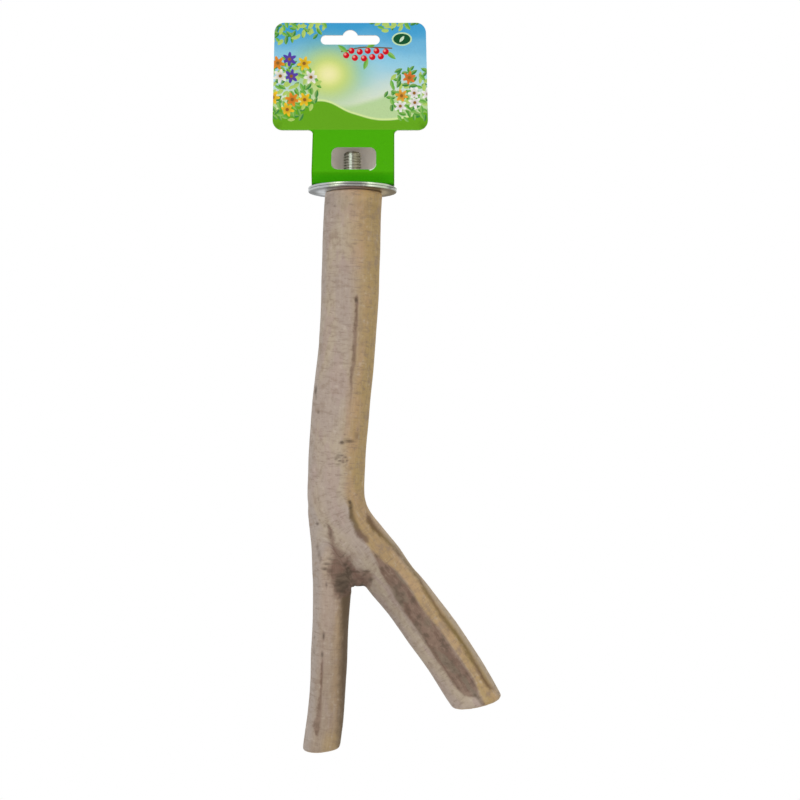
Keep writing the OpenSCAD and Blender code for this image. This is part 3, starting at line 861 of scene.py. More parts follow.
    def with_crotch(self, colour):
        """Adds the rough bark at the fork, with its torn outline and its dark core, which also paints shade
        under the arch between the legs.
        """
        torn = self.patches(self.limb, 3 * MM, 3 * MM, detail=4.0, roughness=0.6, shift=7.0)
        torn = (torn - 0.5) * TORN
        crotch = self.step(self.attribute("crotch") + torn, -1.5 * MM, 1.6 * MM, 0.94)
        colour = self.mix(crotch, colour, self.layered(self.looks.red_crotch, CROTCH_LAYERS))
        core = self.step(self.attribute("crotch_core_and_arch_shade") + torn, -1.2 * MM, 1.6 * MM, 0.85)
        return self.mix(core, colour, self.layered(self.looks.core_and_arch_shade_brown, CORE_LAYERS))

    def with_lines(self, colour):
        """Adds the thin dark lines and the spots, and gives the lines for the relief as well."""
        looks = self.looks
        edge = self.mark(EDGE_STREAK_SHARES, 0.07) * self.on_main
        colour = self.mix(edge * 0.93, colour, self.layered(looks.edge_line, EDGE_LINE_LAYERS))
        fork = self.mark(FORK_STREAK_SHARES, 0.07) * self.on_main
        colour = self.mix(fork * 0.88, colour, self.layered(looks.fork_line, FORK_LINE_LAYERS))
        stem = self.mark(STEM_STREAK_SHARES, 0.045) * self.on_main
        thin = self.mark(THIN_STREAK_SHARES, 0.05) * self.on_thin
        lines = self.most(stem, thin)
        colour = self.mix(lines * 0.85, colour, self.layered(looks.pale_streak, STREAK_LAYERS))
        spots = self.step(self.attribute("spots"), 0.10, 0.90)
        colour = self.mix(spots * 0.85, colour, looks.pith)
        return colour, self.most(edge, fork, lines, spots)

    def with_sawn_ends(self, colour):
        """Shows the growth rings on the sawn faces."""
        reach = self.reach(self.across_m, self.back_m)
        rings = self.maths("SINE", reach * (2 * math.pi / RING_GAP) + self.broad * 14.0)
        end_grain = self.mix((rings + 1.0) * 0.275, self.looks.heartwood, self.looks.growth_ring)
        return self.mix(self.attribute("sawn"), colour, end_grain)

    def finished(self):
        colour, lines = self.with_lines(self.with_crotch(self.with_bands(self.ground())))
        height = self.fibres * 0.3 - self.ticks * 0.6 - self.wrinkles * 0.6 - self.mottle * 0.4
        self.bump(height - lines * 0.7, 0.4 * MM, 0.6)
        roughness = self.ramp(self.mottle, 0.2, 0.8, 0.60, 0.80)
        return self.surface(colour=self.with_sawn_ends(colour), roughness=roughness, specular=0.22)


# The bolt, the washers and the nut

SCREW_STEPS = 40
MERGE = 0.001 * MM
# Depth of the threads and length of their flanks, as shares of the pitch
MACHINE_THREAD_SHARES = (0.45, 0.30)
WOOD_THREAD_SHARES = (0.35, 0.42)
# What the dull blotches leave of the plate's colour
DULL_SHARES = (0.62, 0.60, 0.55)
# Where painted highlights lie on the washers' rims in front: from and to, as shares of their radius to the
# right
UPPER_GLINT_SHARES = ((-0.50, -0.18), (0.34, 0.85))
LOWER_GLINT_SHARES = ((-0.48, -0.28), (0.36, 0.80))
# How much thinner the washers are than their solids, so that they share no plane as they turn
THINNER_SHARE = 0.02
# The painted reflection of the bark under a washer: places to the right between which it turns pinkish and
# then tan, and shares of the stem's radius between which the underside is painted lighter next to the wood
PINK_REFLECTION_PLACES = (-10 * MM, -3 * MM)
TAN_REFLECTION_PLACES = (1 * MM, 12 * MM)
LIT_RING_SHARES = (1.35, 1.10)
# Radius of the waist between the bolt's threads and of the screw's tip, as shares of the bolt's
# radius, and length of its point as a share of the same
WAIST_SHARE = 0.88
TIP_SHARE = 0.3
POINT_SHARE = 2.2


def threaded_rod(name, pitch, thread_shares, low, high):
    """A rod with a true right-hand helical thread between two heights, closed at both ends."""
    depth, flank = (share * pitch for share in thread_shares)
    land = (pitch - 2 * flank) / 2
    start = low - 2 * pitch
    profile = [
        (BOLT_R - depth, start), (BOLT_R, start + flank), (BOLT_R, start + flank + land),
        (BOLT_R - depth, start + 2 * flank + land), (BOLT_R - depth, start + pitch),
    ]
    mesh = bpy.data.meshes.new(name)
    mesh.from_pydata([(x, 0, z) for x, z in profile], [(i, i + 1) for i in range(len(profile) - 1)], [])
    rod = bpy.data.objects.new(name, mesh)
    bpy.context.scene.collection.objects.link(rod)
    turns = math.ceil((high - start) / pitch) + 2
    apply_modifier(
        rod, "SCREW", axis="Z", angle=2 * math.pi, screw_offset=pitch, iterations=turns,
        steps=SCREW_STEPS, render_steps=SCREW_STEPS, use_merge_vertices=True, merge_threshold=MERGE)
    with editing(rod):
        bpy.ops.mesh.remove_doubles(threshold=MERGE)
        cut_open_mesh(2, high, use_fill=True, clear_outer=True)
        cut_open_mesh(2, low, use_fill=True, clear_inner=True)
        bpy.ops.mesh.select_all(action="SELECT")
        bpy.ops.mesh.normals_make_consistent(inside=False)
    return rod


def draw_in(piece, reach_at):
    """Draws each vertex in to the reach that the rod has at its height."""
    points = vertices_of(piece)
    radii = np.hypot(points[:, 0], points[:, 1])
    allowed = np.array([reach_at(z) for z in points[:, 2]])
    points[:, :2] *= np.minimum(1, allowed / np.maximum(radii, MERGE))[:, None]
    move_vertices(piece, points)


def make_bolt(looks):
    chamfer = BOLT_R / 4
    waist_high = WOOD_TOP - BOLT_R
    waist_low = WOOD_TOP - 2 * BOLT_R
    machine = threaded_rod(
        "hanger_bolt_thread", looks.pitch, MACHINE_THREAD_SHARES, waist_high, BOLT_HIGH.z)
    draw_in(machine, lambda z: BOLT_R - max(0, z - (BOLT_HIGH.z - chamfer)))
    screw = threaded_rod("screw_end", looks.wood_pitch, WOOD_THREAD_SHARES, BOLT_LOW.z, waist_low)
    point_l = POINT_SHARE * BOLT_R
    draw_in(screw, lambda z: BOLT_R * min(1, TIP_SHARE + (1 - TIP_SHARE) * (z - BOLT_LOW.z) / point_l))
    bpy.ops.object.select_all(action="DESELECT")
    bpy.ops.mesh.primitive_cylinder_add(
        vertices=SCREW_STEPS, radius=WAIST_SHARE * BOLT_R, depth=waist_high - waist_low,
        location=(0, 0, (waist_high + waist_low) / 2))
    waist = bpy.context.object
    waist.name = "bolt_waist"
    settle(waist)
    select_only(waist, screw, machine)
    bpy.ops.object.join()
    smooth(machine, 28)
    machine.data.materials.append(thread_finish(looks))
    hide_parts("hanger_bolt")
    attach(machine, "perch")


class Plating(Finish):
    """Zinc plate with fine tumbling marks and dull blotches."""

    def __init__(self, name, clean, tumbling=0.25):
        super().__init__(name)
        spot = self.place()
        self.x, self.y, self.z = self.split(spot)
        self.marks = self.noise(spot, 1 / (0.4 * MM))
        self.blotches = self.noise(spot, 1 / (7.5 * MM), detail=4.0)
        dull = [share * part for share, part in zip(DULL_SHARES, clean)]
        self.colour = self.mix(self.step(self.blotches, 0.38, 0.70, 0.75), clean, dull)
        self.bump(self.marks, 0.03 * MM, tumbling)

    def cover(self, share, colour):
        self.colour = self.mix(share, self.colour, colour)

    def finished(self, roughness):
        return self.surface(
            colour=self.colour, metallic=1.0,
            roughness=self.ramp(self.marks, 0.3, 0.7, roughness - 0.06, roughness + 0.10))


def thread_finish(looks):
    """The bolt's thread: a painted highlight down the front, painted shade on the left and khaki painted
    shade on the right.
    """
    plating = Plating("thread zinc", looks.thread_zinc, tumbling=0.08)
    right = plating.x / BOLT_R
    front = plating.step(plating.y, 0, -0.25 * BOLT_R)
    # Painted highlight down the front, and painted shade on the left and, tinted khaki, on the right
    highlighted = plating.step(right, -0.44, -0.30) * plating.step(right, 0.04, -0.10)
    plating.cover(highlighted * front, looks.thread_highlight)
    plating.cover(plating.step(right, -0.60, -0.80, 0.6) * front, looks.thread_left_shade)
    plating.cover(plating.step(right, 0.06, 0.30, 0.6) * front, looks.khaki_thread_shade)
    return plating.finished(0.38)


def face_finish(looks, node, wood_reflection):
    """A washer's flat faces. Underneath, painted reflections of the bark turn them pinkish and then tan to
    the right, and painted light doubles their brightness next to the wood.
    """
    plating = Plating("stamped zinc", looks.pale_zinc)
    low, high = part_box(node)
    below = plating.step(plating.z, high.z, low.z, wood_reflection)
    # Painted reflections of the bark underneath: pinkish towards the middle, tan to the right
    plating.cover(plating.step(plating.x, *PINK_REFLECTION_PLACES) * below, looks.pink_reflection_zinc)
    plating.cover(plating.step(plating.x, *TAN_REFLECTION_PLACES) * below, looks.tan_reflection_zinc)
    # Painted light: twice as bright in a ring next to the wood
    lit_ring_near_wood = plating.step(plating.reach(plating.x, plating.y) / MAIN_R, *LIT_RING_SHARES)
    plating.colour = plating.shade(lit_ring_near_wood * below, plating.colour, 2.0)
    plating.feed(plating.shader.inputs["Specular Tint"], looks.face_gleam)
    return plating.finished(0.42)


def rim_finish(looks, radius, glint_shares):
    """A washer's rim: dull, with painted light on its left side, painted highlights in front and bright worn
    patches.
    """
    plating = Plating("washer rim", looks.rim_zinc)
    right = plating.x / radius
    # Painted light: the rims' left side is paler
    plating.cover(plating.step(right, -0.3, -0.6), looks.pale_zinc)
    soft = 1.2 * MM / radius
    # Painted highlights: arcs of the rims' front painted bright, along with worn patches
    rubbed = plating.most(*(
        plating.step(right, start - soft, start + soft) * plating.step(right, end + soft, end - soft)
        for start, end in glint_shares))
    worn = plating.step(plating.blotches, 0.54, 0.62, 0.35)
    plating.cover(plating.most(rubbed * plating.step(plating.y, 0, -2 * MM), worn), looks.glint_and_wear_zinc)
    return plating.finished(0.28)


def make_washer(looks, node, body, glint_shares, wood_reflection):
    washer = copy_of_node(node, "zinc_" + node)
    bevel(washer, looks.edge, 30)
    smooth(washer, 35)
    points = vertices_of(washer)
    radius = np.hypot(points[:, 0], points[:, 1]).max()
    points[:, 2] += THINNER_SHARE * (points[:, 2].mean() - points[:, 2])
    move_vertices(washer, points)
    washer.data.materials.append(face_finish(looks, node, wood_reflection))
    washer.data.materials.append(rim_finish(looks, radius, glint_shares))
    for face in washer.data.polygons:
        on_rim = math.hypot(face.center.x, face.center.y) > radius - 2 * looks.edge
        face.material_index = int(on_rim and abs(face.normal.z) < 0.9)
    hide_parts(node)
    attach(washer, body)


def make_nut(looks):
    nut = copy_of_node("nut", "hex_nut")
    bevel(nut, looks.edge, 25)
    smooth(nut, 35)
    nut.data.materials.append(Plating("nut zinc", looks.zinc).finished(0.30))
    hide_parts("nut")
    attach(nut, "nut")


# The folded card

HEADER_TOP = CARD_HIGH.z
HEADER_MID = (CARD_LOW.x + CARD_HIGH.x) / 2
HEADER_W = CARD_HIGH.x - CARD_LOW.x
HEADER_H = 48.5 * MM
HEADER_LOW = HEADER_TOP - HEADER_H
SHEET = 0.5 * MM
CREASE_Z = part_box("upper_washer")[1].z + SHEET / 2 + 5.4 * MM
NECK_W = 36.9 * MM
NECK_MID = 0.5 * MM
WINDOW_R = 3 * MM
WINDOW_CORNER = (7.3 * MM, 10.8 * MM)
SLOT_LOW = HEADER_TOP - 7.6 * MM - 4.2 * MM / 2
SLOT_BUMP_R = 3.6 * MM
# The header's cuts, which let it bow: columns across its width and rows up its height
COLUMNS = 14
ROWS = 10
# How far the header's middle bows to the back, and how far its corners come forward
BOW = 0.5 * MM
CURL = 0.4 * MM


def header_bow(x, z):
    """How far the header bows to the back, as a flat card does that has hung for a while."""
    rise = min(max((z - HEADER_LOW) / HEADER_H, 0), 1)
    side = (x - HEADER_MID) / (HEADER_W / 2)
    return BOW * rise * (1 - rise) * 4 - CURL * rise * side * side


def shape_header(piece):
    """Straightens the slot's lower edge, and bows the header."""
    points = vertices_of(piece)
    x, z = points[:, 0], points[:, 2]
    below_bar = (z < SLOT_LOW) & (z > SLOT_LOW - SLOT_BUMP_R / 3) & (abs(x - HEADER_MID) < SLOT_BUMP_R)
    points[below_bar, 2] = SLOT_LOW
    points[:, 1] += [header_bow(x, z) for x, _, z in points]
    move_vertices(piece, points)


def is_printed(face):
    """True for the faces that look away from the fold, and for the base's underside."""
    away = face.normal.y if face.center.y > 0 else -face.normal.y
    return away > 0.25 or (face.normal.z < -0.6 and face.center.z < 3 * MM)


def make_card(looks):
    card = copy_of_node("hanging_card", "folded_card")
    with editing(card):
        for k in range(1, COLUMNS):
            cut_open_mesh(0, CARD_LOW.x + HEADER_W * k / COLUMNS)
        for k in range(ROWS):
            cut_open_mesh(2, HEADER_LOW + HEADER_H * k / ROWS)
    card.data.materials.append(print_finish(looks))
    card.data.materials.append(board_finish(looks))
    for face in card.data.polygons:
        face.material_index = 0 if is_printed(face) else 1
    shape_header(card)
    smooth(card, 25)
    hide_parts("hanging_card")
    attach(card, "card")


# Heights of the printed hills' edges and of the twig, as shares of the header's height, along its width
HILL_SHARES = ((0.0, 0.17), (0.14, 0.25), (0.30, 0.27), (0.52, 0.15), (0.72, 0.09), (0.88, 0.12), (1.0, 0.18))
FAR_HILL_SHARES = ((0.0, 0.30), (0.20, 0.26), (0.45, 0.24), (0.65, 0.30), (0.82, 0.37), (1.0, 0.33))
TWIG_SHARES = ((0.0, 0.72), (0.44, 0.735), (0.60, 0.775), (0.77, 0.765), (1.0, 0.75))
TWIG_ENDS = (0.44, 0.77)
# Places on the header, as shares of its width and height; a leaf has its turn in radians beside it
BERRY_SHARES = (
    (0.474, 0.700), (0.508, 0.742), (0.530, 0.676), (0.561, 0.733), (0.588, 0.672), (0.613, 0.742),
    (0.642, 0.684), (0.669, 0.740), (0.697, 0.690), (0.728, 0.734),
)
SPRAY_LEAVES = (((0.452, 0.760), 2.5), ((0.640, 0.800), 0.5), ((0.762, 0.700), 5.6), ((0.600, 0.620), 4.4))
BADGE_MIDDLE = (0.832, 0.850)
# Ovals, with their middle and half their width and height, in which leaves and flowers grow
LEAF_OVALS = (
    ((0.02, 1.00), (0.34, 0.20)), ((0.78, 1.02), (0.16, 0.10)),
    ((0.10, 0.38), (0.20, 0.30)), ((0.90, 0.34), (0.17, 0.26)),
)
LEFT_OVAL = ((0.12, 0.42), (0.15, 0.26))
RIGHT_OVAL = ((0.89, 0.38), (0.13, 0.22))
GREENS = ((0.050, 0.240, 0.050), (0.140, 0.420, 0.060), (0.430, 0.600, 0.130), (0.090, 0.330, 0.040))
LEFT_BLOOMS = ((0.900, 0.560, 0.020), (0.090, 0.055, 0.420), (0.830, 0.270, 0.020), (0.880, 0.860, 0.740))
RIGHT_BLOOMS = ((0.760, 0.200, 0.030), (0.420, 0.680, 0.860), (0.900, 0.880, 0.840), (0.840, 0.380, 0.040))
# Patterns of leaves and of flowers: the size of a cell, and a shift that gives another pattern
LEAF_PATTERNS = ((2.9 * MM, 4.4), (3.4 * MM, 7.3))
FLOWER_PATTERNS = ((7.2 * MM, 3.1, LEFT_BLOOMS, LEFT_OVAL), (6.6 * MM, 5.7, RIGHT_BLOOMS, RIGHT_OVAL))
# The light in the mist: from and to which reach each colour grows, its strength and its name
GLOW_LAYERS = (
    (0.36, 0.05, 0.85, "misty_green"), (0.24, 0.03, 0.90, "misty_yellow"), (0.12, 0.00, 0.85, "misty_sun"),
)
SPRAY_LEAF_L = 2.8 * MM
BERRY_R = 1.4 * MM
BADGE_LEAF_L = 1.7 * MM


class Print(Finish):
    """The card's print. Its motifs are placed in shares of the header's width and height."""

    def __init__(self, looks):
        super().__init__("printed card")
        self.looks = looks
        self.x, self.y, self.z = self.split(self.place())
        self.right = (self.x - CARD_LOW.x) / HEADER_W
        self.up = (self.z - HEADER_LOW) / HEADER_H

    def cells(self, spacing, shift):
        """Cells of a pattern: the place in a cell, the cell's own place on the header, and its number."""
        made = self.node("ShaderNodeTexVoronoi", voronoi_dimensions="2D")
        u = self.right * (HEADER_W / spacing) + shift
        v = self.up * (HEADER_H / spacing) + shift
        self.feed(made.inputs["Vector"], self.join(u, v, 0.0))
        self.feed(made.inputs["Scale"], 1.0)
        self.feed(made.inputs["Randomness"], 0.62)
        cell_u, cell_v, _ = self.split(self.out(made, "Position"))
        number, _, _ = self.split(self.out(made, "Color"))
        middle = (cell_u - shift) * (spacing / HEADER_W), (cell_v - shift) * (spacing / HEADER_H)
        return (u - cell_u, v - cell_v), middle, number

    def local(self, middle, size):
        """The place on the header seen from a point on it, in sizes of a motif."""
        return (self.right - middle[0]) * (HEADER_W / size), (self.up - middle[1]) * (HEADER_H / size)

    def within(self, place, middle, half):
        """1 where a place lies in an oval on the header, and 0 outside it."""
        return self.reach((place[0] - middle[0]) / half[0], (place[1] - middle[1]) / half[1]) < 1.0

    def blossom(self, local, number, size, petals):
        """A flower's petals, its eye, and the distance from its middle."""
        u, v = local
        reach = self.reach(u, v)
        turn = self.maths("ARCTAN2", v, u) + number * (2 * math.pi)
        wave = self.maths("COSINE", turn * petals)
        rim = wave * (0.24 * size) + 0.76 * size
        return self.step(rim - reach, -0.03, 0.03), self.step(reach, 0.26 * size, 0.20 * size), reach

    def leaf(self, local, turn, leaf_length, width):
        """A pointed leaf at a turn, and the distance from its vein."""
        u, v = local
        c, s = self.maths("COSINE", turn), self.maths("SINE", turn)
        along = u * c + v * s
        off_vein = v * c - u * s
        room = along * along * (-width / leaf_length ** 2) + width
        return self.step(room - abs(off_vein), -0.02, 0.02), off_vein

    def veined(self, green, off_vein):
        return self.mix(self.step(off_vein, -0.01, 0.03, 0.35), green, self.looks.vein)

    def sky(self):
        """The sky, with a soft light in the mist."""
        looks = self.looks
        clouds = self.patches(self.place(), 26 * MM, 11 * MM, detail=4.0)
        high = self.up + (clouds - 0.5) * 0.30
        colour = self.mix(self.step(high, 0.20, 0.66), looks.cream, looks.haze)
        colour = self.mix(self.step(high, 0.58, 0.98), colour, looks.sky)
        glow = self.reach(self.right - 0.36, self.up * 0.8 - 0.42)
        for outer, inner, strength, name in GLOW_LAYERS:
            colour = self.mix(self.step(glow, outer, inner, strength), colour, getattr(looks, name))
        return colour

    def with_hills(self, colour):
        far = self.curve(self.right, FAR_HILL_SHARES) - self.up
        colour = self.mix(self.step(far, -0.02, 0.05, 0.75), colour, self.looks.far_hill)
        near = self.curve(self.right, HILL_SHARES) - self.up
        colour = self.mix(self.step(near, -0.030, -0.010), colour, self.looks.hill_rim)
        return self.mix(self.step(near, -0.008, 0.004), colour, self.looks.hill_green)

    def with_leaves(self, colour):
        for spacing, shift in LEAF_PATTERNS:
            local, middle, number = self.cells(spacing, shift)
            shape, off_vein = self.leaf(local, number * (2 * math.pi), 0.60, 0.26)
            grown = self.most(*(self.within(middle, *oval) for oval in LEAF_OVALS))
            colour = self.mix(shape * grown, colour, self.veined(self.palette(number, GREENS), off_vein))
        return colour

    def with_flowers(self, colour):
        for spacing, shift, blooms, oval in FLOWER_PATTERNS:
            local, middle, number = self.cells(spacing, shift)
            petals, eye, reach = self.blossom(local, number, 0.46, 6)
            bloom = self.palette(number, blooms)
            bloom = self.mix(self.ramp(reach, 0.05, 0.42, 0.35, 0.0), bloom, self.looks.throat)
            bloom = self.mix(eye, bloom, self.looks.flower_eye)
            colour = self.mix(petals * self.within(middle, *oval), colour, bloom)
        return colour

    def with_spray(self, colour):
        """A spray of red berries on a twig, under the slot."""
        looks = self.looks
        on_twig = (self.right > TWIG_ENDS[0]) * (self.right < TWIG_ENDS[1])
        off_twig = abs(self.curve(self.right, TWIG_SHARES) - self.up)
        colour = self.mix(self.step(off_twig, 0.008, 0.004) * on_twig, colour, looks.twig)
        for middle, turn in SPRAY_LEAVES:
            shape, off_vein = self.leaf(self.local(middle, SPRAY_LEAF_L), turn, 1.0, 0.36)
            colour = self.mix(shape, colour, self.veined(GREENS[1], off_vein))
        for middle in BERRY_SHARES:
            u, v = self.local(middle, BERRY_R)
            glint = self.reach(u + 0.35, v - 0.35)
            berry = self.mix(self.step(glint, 0.60, 0.15), looks.berry, looks.berry_glint)
            colour = self.mix(self.step(self.reach(u, v), 1.05, 0.95), colour, berry)
        return colour

    def with_badge(self, colour):
        """A dark oval badge with a pale rim, and a pale leaf on it."""
        looks = self.looks
        place = self.right, self.up
        colour = self.mix(self.within(place, BADGE_MIDDLE, (0.065, 0.0625)), colour, looks.badge_rim)
        colour = self.mix(self.within(place, BADGE_MIDDLE, (0.055, 0.0495)), colour, looks.badge)
        shape, _ = self.leaf(self.local(BADGE_MIDDLE, BADGE_LEAF_L), 0.9, 1.0, 0.40)
        return self.mix(shape, colour, looks.badge_leaf)

    def with_green_neck(self, colour):
        """Leaves the picture on the header's front only, and paints shade on the neck: a darker strip under
        the crease and a painted shadow at the bottom.
        """
        looks = self.looks
        colour = self.mix(self.step(self.y, 0.0, 0.02 * MM), colour, looks.hill_green)
        colour = self.mix(self.step(self.up, 0.0, 0.008), looks.neck_green, colour)
        # Painted shade on the strip under the crease, and a painted shadow at the bottom of the neck
        lip_shade = self.step(self.z, CREASE_Z + 0.5 * MM, CREASE_Z - 2.5 * MM)
        foot_shadow = self.step(self.z, CREASE_Z - 4.2 * MM, CREASE_Z - 5.4 * MM)
        return self.shade(foot_shadow, self.mix(lip_shade, colour, looks.lip_green), 0.62)

    def with_dark_edges_and_lit_corner(self, colour):
        """Darkens the neck's two edges, and paints one corner of the window pale where the board's lit cut
        edge shows: board colour and a painted highlight.
        """
        # Darker green along the neck's two edges
        rubbed = self.step(abs(self.x - NECK_MID), NECK_W / 2 - 0.8 * MM, NECK_W / 2 - 0.3 * MM, 0.6)
        below_header = self.step(self.z, HEADER_LOW, HEADER_LOW - 1 * MM)
        colour = self.mix(rubbed * below_header, colour, self.looks.neck_edge_green)
        corner_x = self.x - WINDOW_CORNER[0]
        corner_z = self.z - WINDOW_CORNER[1]
        past_arc = self.reach(corner_x, corner_z) - WINDOW_R
        low_right = self.step(corner_x, 0.4 * MM, 0.9 * MM) * self.step(corner_z, 0.0, -0.6 * MM)
        # Painted highlight: the pale corner stands for the board's lit cut edge
        torn = self.step(past_arc, 0.75 * MM, 0.45 * MM) * low_right * self.step(self.y, 0.0, -1 * MM)
        return self.mix(torn, colour, self.looks.lit_board_corner)


def print_finish(looks):
    """A plain green neck, and a header with sky, two hills, leaves, flowers, berries and a badge."""
    finish = Print(looks)
    colour = finish.with_flowers(finish.with_leaves(finish.with_hills(finish.sky())))
    colour = finish.with_badge(finish.with_spray(colour))
    colour = finish.with_dark_edges_and_lit_corner(finish.with_green_neck(colour))
    grain = finish.noise(finish.place(), 1 / (0.5 * MM), detail=2.0)
    colour = finish.shade(finish.step(grain, 0.45, 0.75, 0.5), colour, 0.86)
    finish.bump(grain, 0.02 * MM, 0.15)
    return finish.surface(colour=colour, roughness=finish.ramp(grain, 0.3, 0.7, 0.46, 0.56), specular=0.03)


def board_finish(looks):
    """Unprinted board with fibres, and the glued seam between the header's two layers."""
    finish = Finish("bare board")
    place = finish.place()
    _, y, z = finish.split(place)
    fibres = finish.patches(place, 1.1 * MM, 0.42 * MM, detail=4.0, roughness=0.7)
    colour = finish.mix(finish.step(fibres, 0.35, 0.70, 0.4), looks.board, looks.board_fibre)
    seam = finish.step(abs(y), 0.07 * MM, 0.03 * MM) * finish.step(z, HEADER_LOW, HEADER_LOW + 1 * MM)
    colour = finish.mix(seam, colour, looks.glued_seam)
    finish.bump(fibres, 0.05 * MM, 0.4)
    return finish.surface(colour=colour, roughness=finish.ramp(fibres, 0.3, 0.7, 0.80, 0.92), specular=0.2)


# The stage

# Radius of the floor, and the reaches from its middle between which it fades to white
FLOOR_R = 550 * MM
FADE = (220 * MM, 540 * MM)
# The three soft lights: place, width and power
LIGHTS = {
    "key_light": ((-750 * MM, -1250 * MM, 1000 * MM), 1100 * MM, 11),
    "fill_light": ((1100 * MM, -1150 * MM, 300 * MM), 1100 * MM, 3.5),
    "back_light": ((300 * MM, 1300 * MM, 800 * MM), 1200 * MM, 8),
}
# The sky's light from the side, and what it gains towards the top
SIDE_LIGHT = 0.60
TOP_LIGHT = 0.22
IMAGE_PIXELS = 800


def make_stage(looks):
    bpy.ops.object.select_all(action="DESELECT")
    floor_z = WOOD_LOW.z - looks.floor_drop
    bpy.ops.mesh.primitive_circle_add(
        vertices=96, radius=FLOOR_R, fill_type="NGON", location=(0, 0, floor_z))
    floor = bpy.context.object
    floor.name = "floor"
    settle(floor)
    floor.data.materials.append(floor_finish(looks))
    for name, (place, size, power) in LIGHTS.items():
        add_light(name, place, size, power)
    light_world()
    set_camera(looks)
    bpy.context.scene.view_settings.view_transform = "Standard"


def floor_finish(looks):
    """A pale floor that fades into the white around it."""
    finish = Finish("pale floor")
    place = finish.place()
    x, y, _ = finish.split(place)
    speckle = finish.noise(place, 1 / (25 * MM), detail=2.0)
    finish.surface(colour=finish.mix(speckle, looks.floor, looks.floor_speckle), roughness=0.9)
    white = finish.node("ShaderNodeEmission")
    finish.show(finish.step(finish.reach(x, y), *FADE), finish.shader, white, "Material Output")
    return finish.material


def add_light(name, place, size, power):
    bpy.ops.object.light_add(type="AREA", location=place)
    light = bpy.context.object
    light.name = name
    light.data.shape = "DISK"
    light.data.size = size
    light.data.energy = power
    aim = Vector((0, 0, WOOD_TOP - WOOD_HEIGHT / 3)) - Vector(place)
    light.rotation_euler = aim.to_track_quat("-Z", "Y").to_euler()


def light_world():
    """White to the camera and in reflections, and soft light on the object, fuller from above."""
    world = bpy.data.worlds.new("studio")
    bpy.context.scene.world = world
    world.use_nodes = True
    sky = Tree(world.node_tree)
    _, _, up = sky.split(sky.place("Generated"))
    soft = sky.tree.nodes["Background"]
    sky.fed(soft, (0.97, 0.98, 1.0), up * TOP_LIGHT + SIDE_LIGHT)
    white = sky.node("ShaderNodeBackground")
    sky.fed(white, (1.0, 1.0, 1.0), 1.0)
    path = sky.node("ShaderNodeLightPath")
    rays = "Is Camera Ray", "Is Glossy Ray", "Is Transmission Ray"
    sky.show(sky.most(*(sky.out(path, ray) for ray in rays)), soft, white, "World Output")


def set_camera(looks):
    """Looks level along +Y at the photograph's height, as an 800-pixel image sees it."""
    bpy.ops.object.camera_add(location=looks.eye, rotation=(math.pi / 2, 0, 0))
    camera = bpy.context.object
    camera.name = "photo_camera"
    camera.data.lens = camera.data.sensor_width * looks.focal_pixels / IMAGE_PIXELS
    camera.data.clip_start = 10 * MM
    camera.data.clip_end = 20_000 * MM
    bpy.context.scene.camera = camera


# Operators, one for each piece or group of like pieces

class PERCH_OT_branch(bpy.types.Operator):
    """Model the forked branch with its bark and sawn ends"""
    bl_idname = "perch.branch"
    bl_label = "Natural Branch"

    def execute(self, context):
        make_branch(context.scene.perch_branch)
        return {"FINISHED"}


class PERCH_OT_bolt(bpy.types.Operator):
    """Model the hanger bolt with its two threads"""
    bl_idname = "perch.bolt"
    bl_label = "Hanger Bolt"

    def execute(self, context):
        make_bolt(context.scene.perch_fixing)
        return {"FINISHED"}


class PERCH_OT_washers(bpy.types.Operator):
    """Model the two stamped fender washers"""
    bl_idname = "perch.washers"
    bl_label = "Fender Washers"

    def execute(self, context):
        looks = context.scene.perch_fixing
        make_washer(looks, "lower_washer", "lower_washer", LOWER_GLINT_SHARES, 1.0)
        make_washer(looks, "upper_washer", "upper_washer", UPPER_GLINT_SHARES, 0.0)
        return {"FINISHED"}


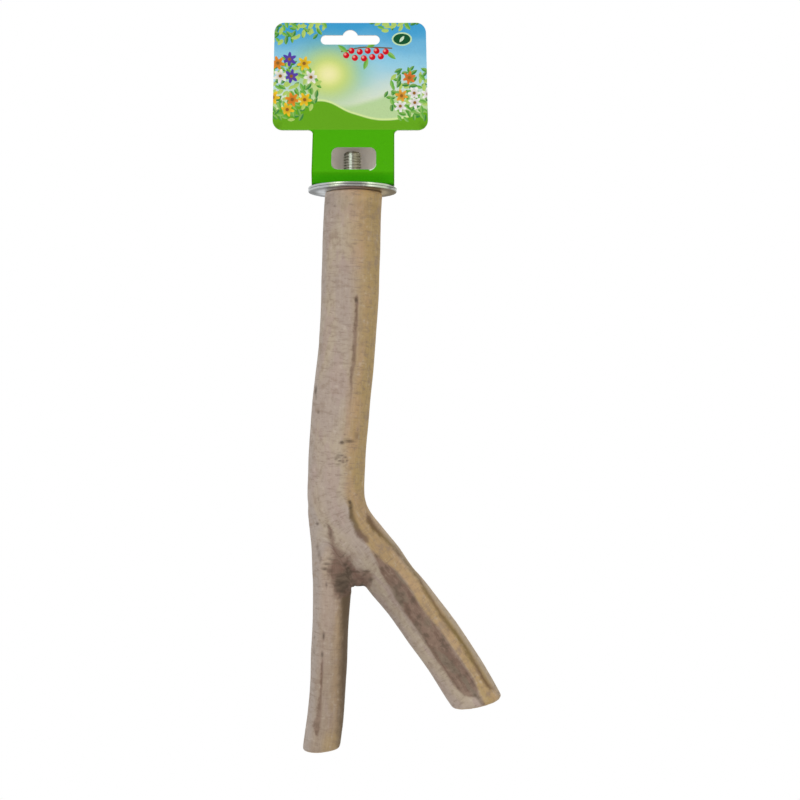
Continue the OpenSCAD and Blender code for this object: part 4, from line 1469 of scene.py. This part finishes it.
class PERCH_OT_nut(bpy.types.Operator):
    """Model the hexagon nut"""
    bl_idname = "perch.nut"
    bl_label = "Hexagon Nut"

    def execute(self, context):
        make_nut(context.scene.perch_fixing)
        return {"FINISHED"}


class PERCH_OT_card(bpy.types.Operator):
    """Model the folded card with its print"""
    bl_idname = "perch.card"
    bl_label = "Folded Card"

    def execute(self, context):
        make_card(context.scene.perch_card)
        return {"FINISHED"}


class PERCH_OT_stage(bpy.types.Operator):
    """Set up the floor, the lights and the camera"""
    bl_idname = "perch.stage"
    bl_label = "Stage"

    def execute(self, context):
        make_stage(context.scene.perch_stage)
        return {"FINISHED"}


class PERCH_PT_panel(bpy.types.Panel):
    """Lists the perch's pieces in the order in which they are made"""
    bl_idname = "PERCH_PT_panel"
    bl_label = "Natural Cage Perch"
    bl_space_type = "VIEW_3D"
    bl_region_type = "UI"
    bl_category = "Perch"

    def draw(self, context):
        for operator in OPERATORS:
            self.layout.operator(operator.bl_idname)


LOOKS = {
    "perch_branch": BranchLooks,
    "perch_fixing": FixingLooks,
    "perch_card": CardLooks,
    "perch_stage": StageLooks,
}
OPERATORS = (
    PERCH_OT_branch, PERCH_OT_bolt, PERCH_OT_washers, PERCH_OT_nut, PERCH_OT_card, PERCH_OT_stage,
)


def register():
    for name, group in LOOKS.items():
        bpy.utils.register_class(group)
        setattr(bpy.types.Scene, name, bpy.props.PointerProperty(type=group))
    for operator in OPERATORS:
        bpy.utils.register_class(operator)
    bpy.utils.register_class(PERCH_PT_panel)


def unregister():
    bpy.utils.unregister_class(PERCH_PT_panel)
    for operator in reversed(OPERATORS):
        bpy.utils.unregister_class(operator)
    for name, group in LOOKS.items():
        delattr(bpy.types.Scene, name)
        bpy.utils.unregister_class(group)


def main():
    register()
    bpy.ops.perch.branch()
    bpy.ops.perch.bolt()
    bpy.ops.perch.washers()
    bpy.ops.perch.nut()
    bpy.ops.perch.card()
    bpy.ops.perch.stage()
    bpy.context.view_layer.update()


if __name__ == "__main__":
    main()
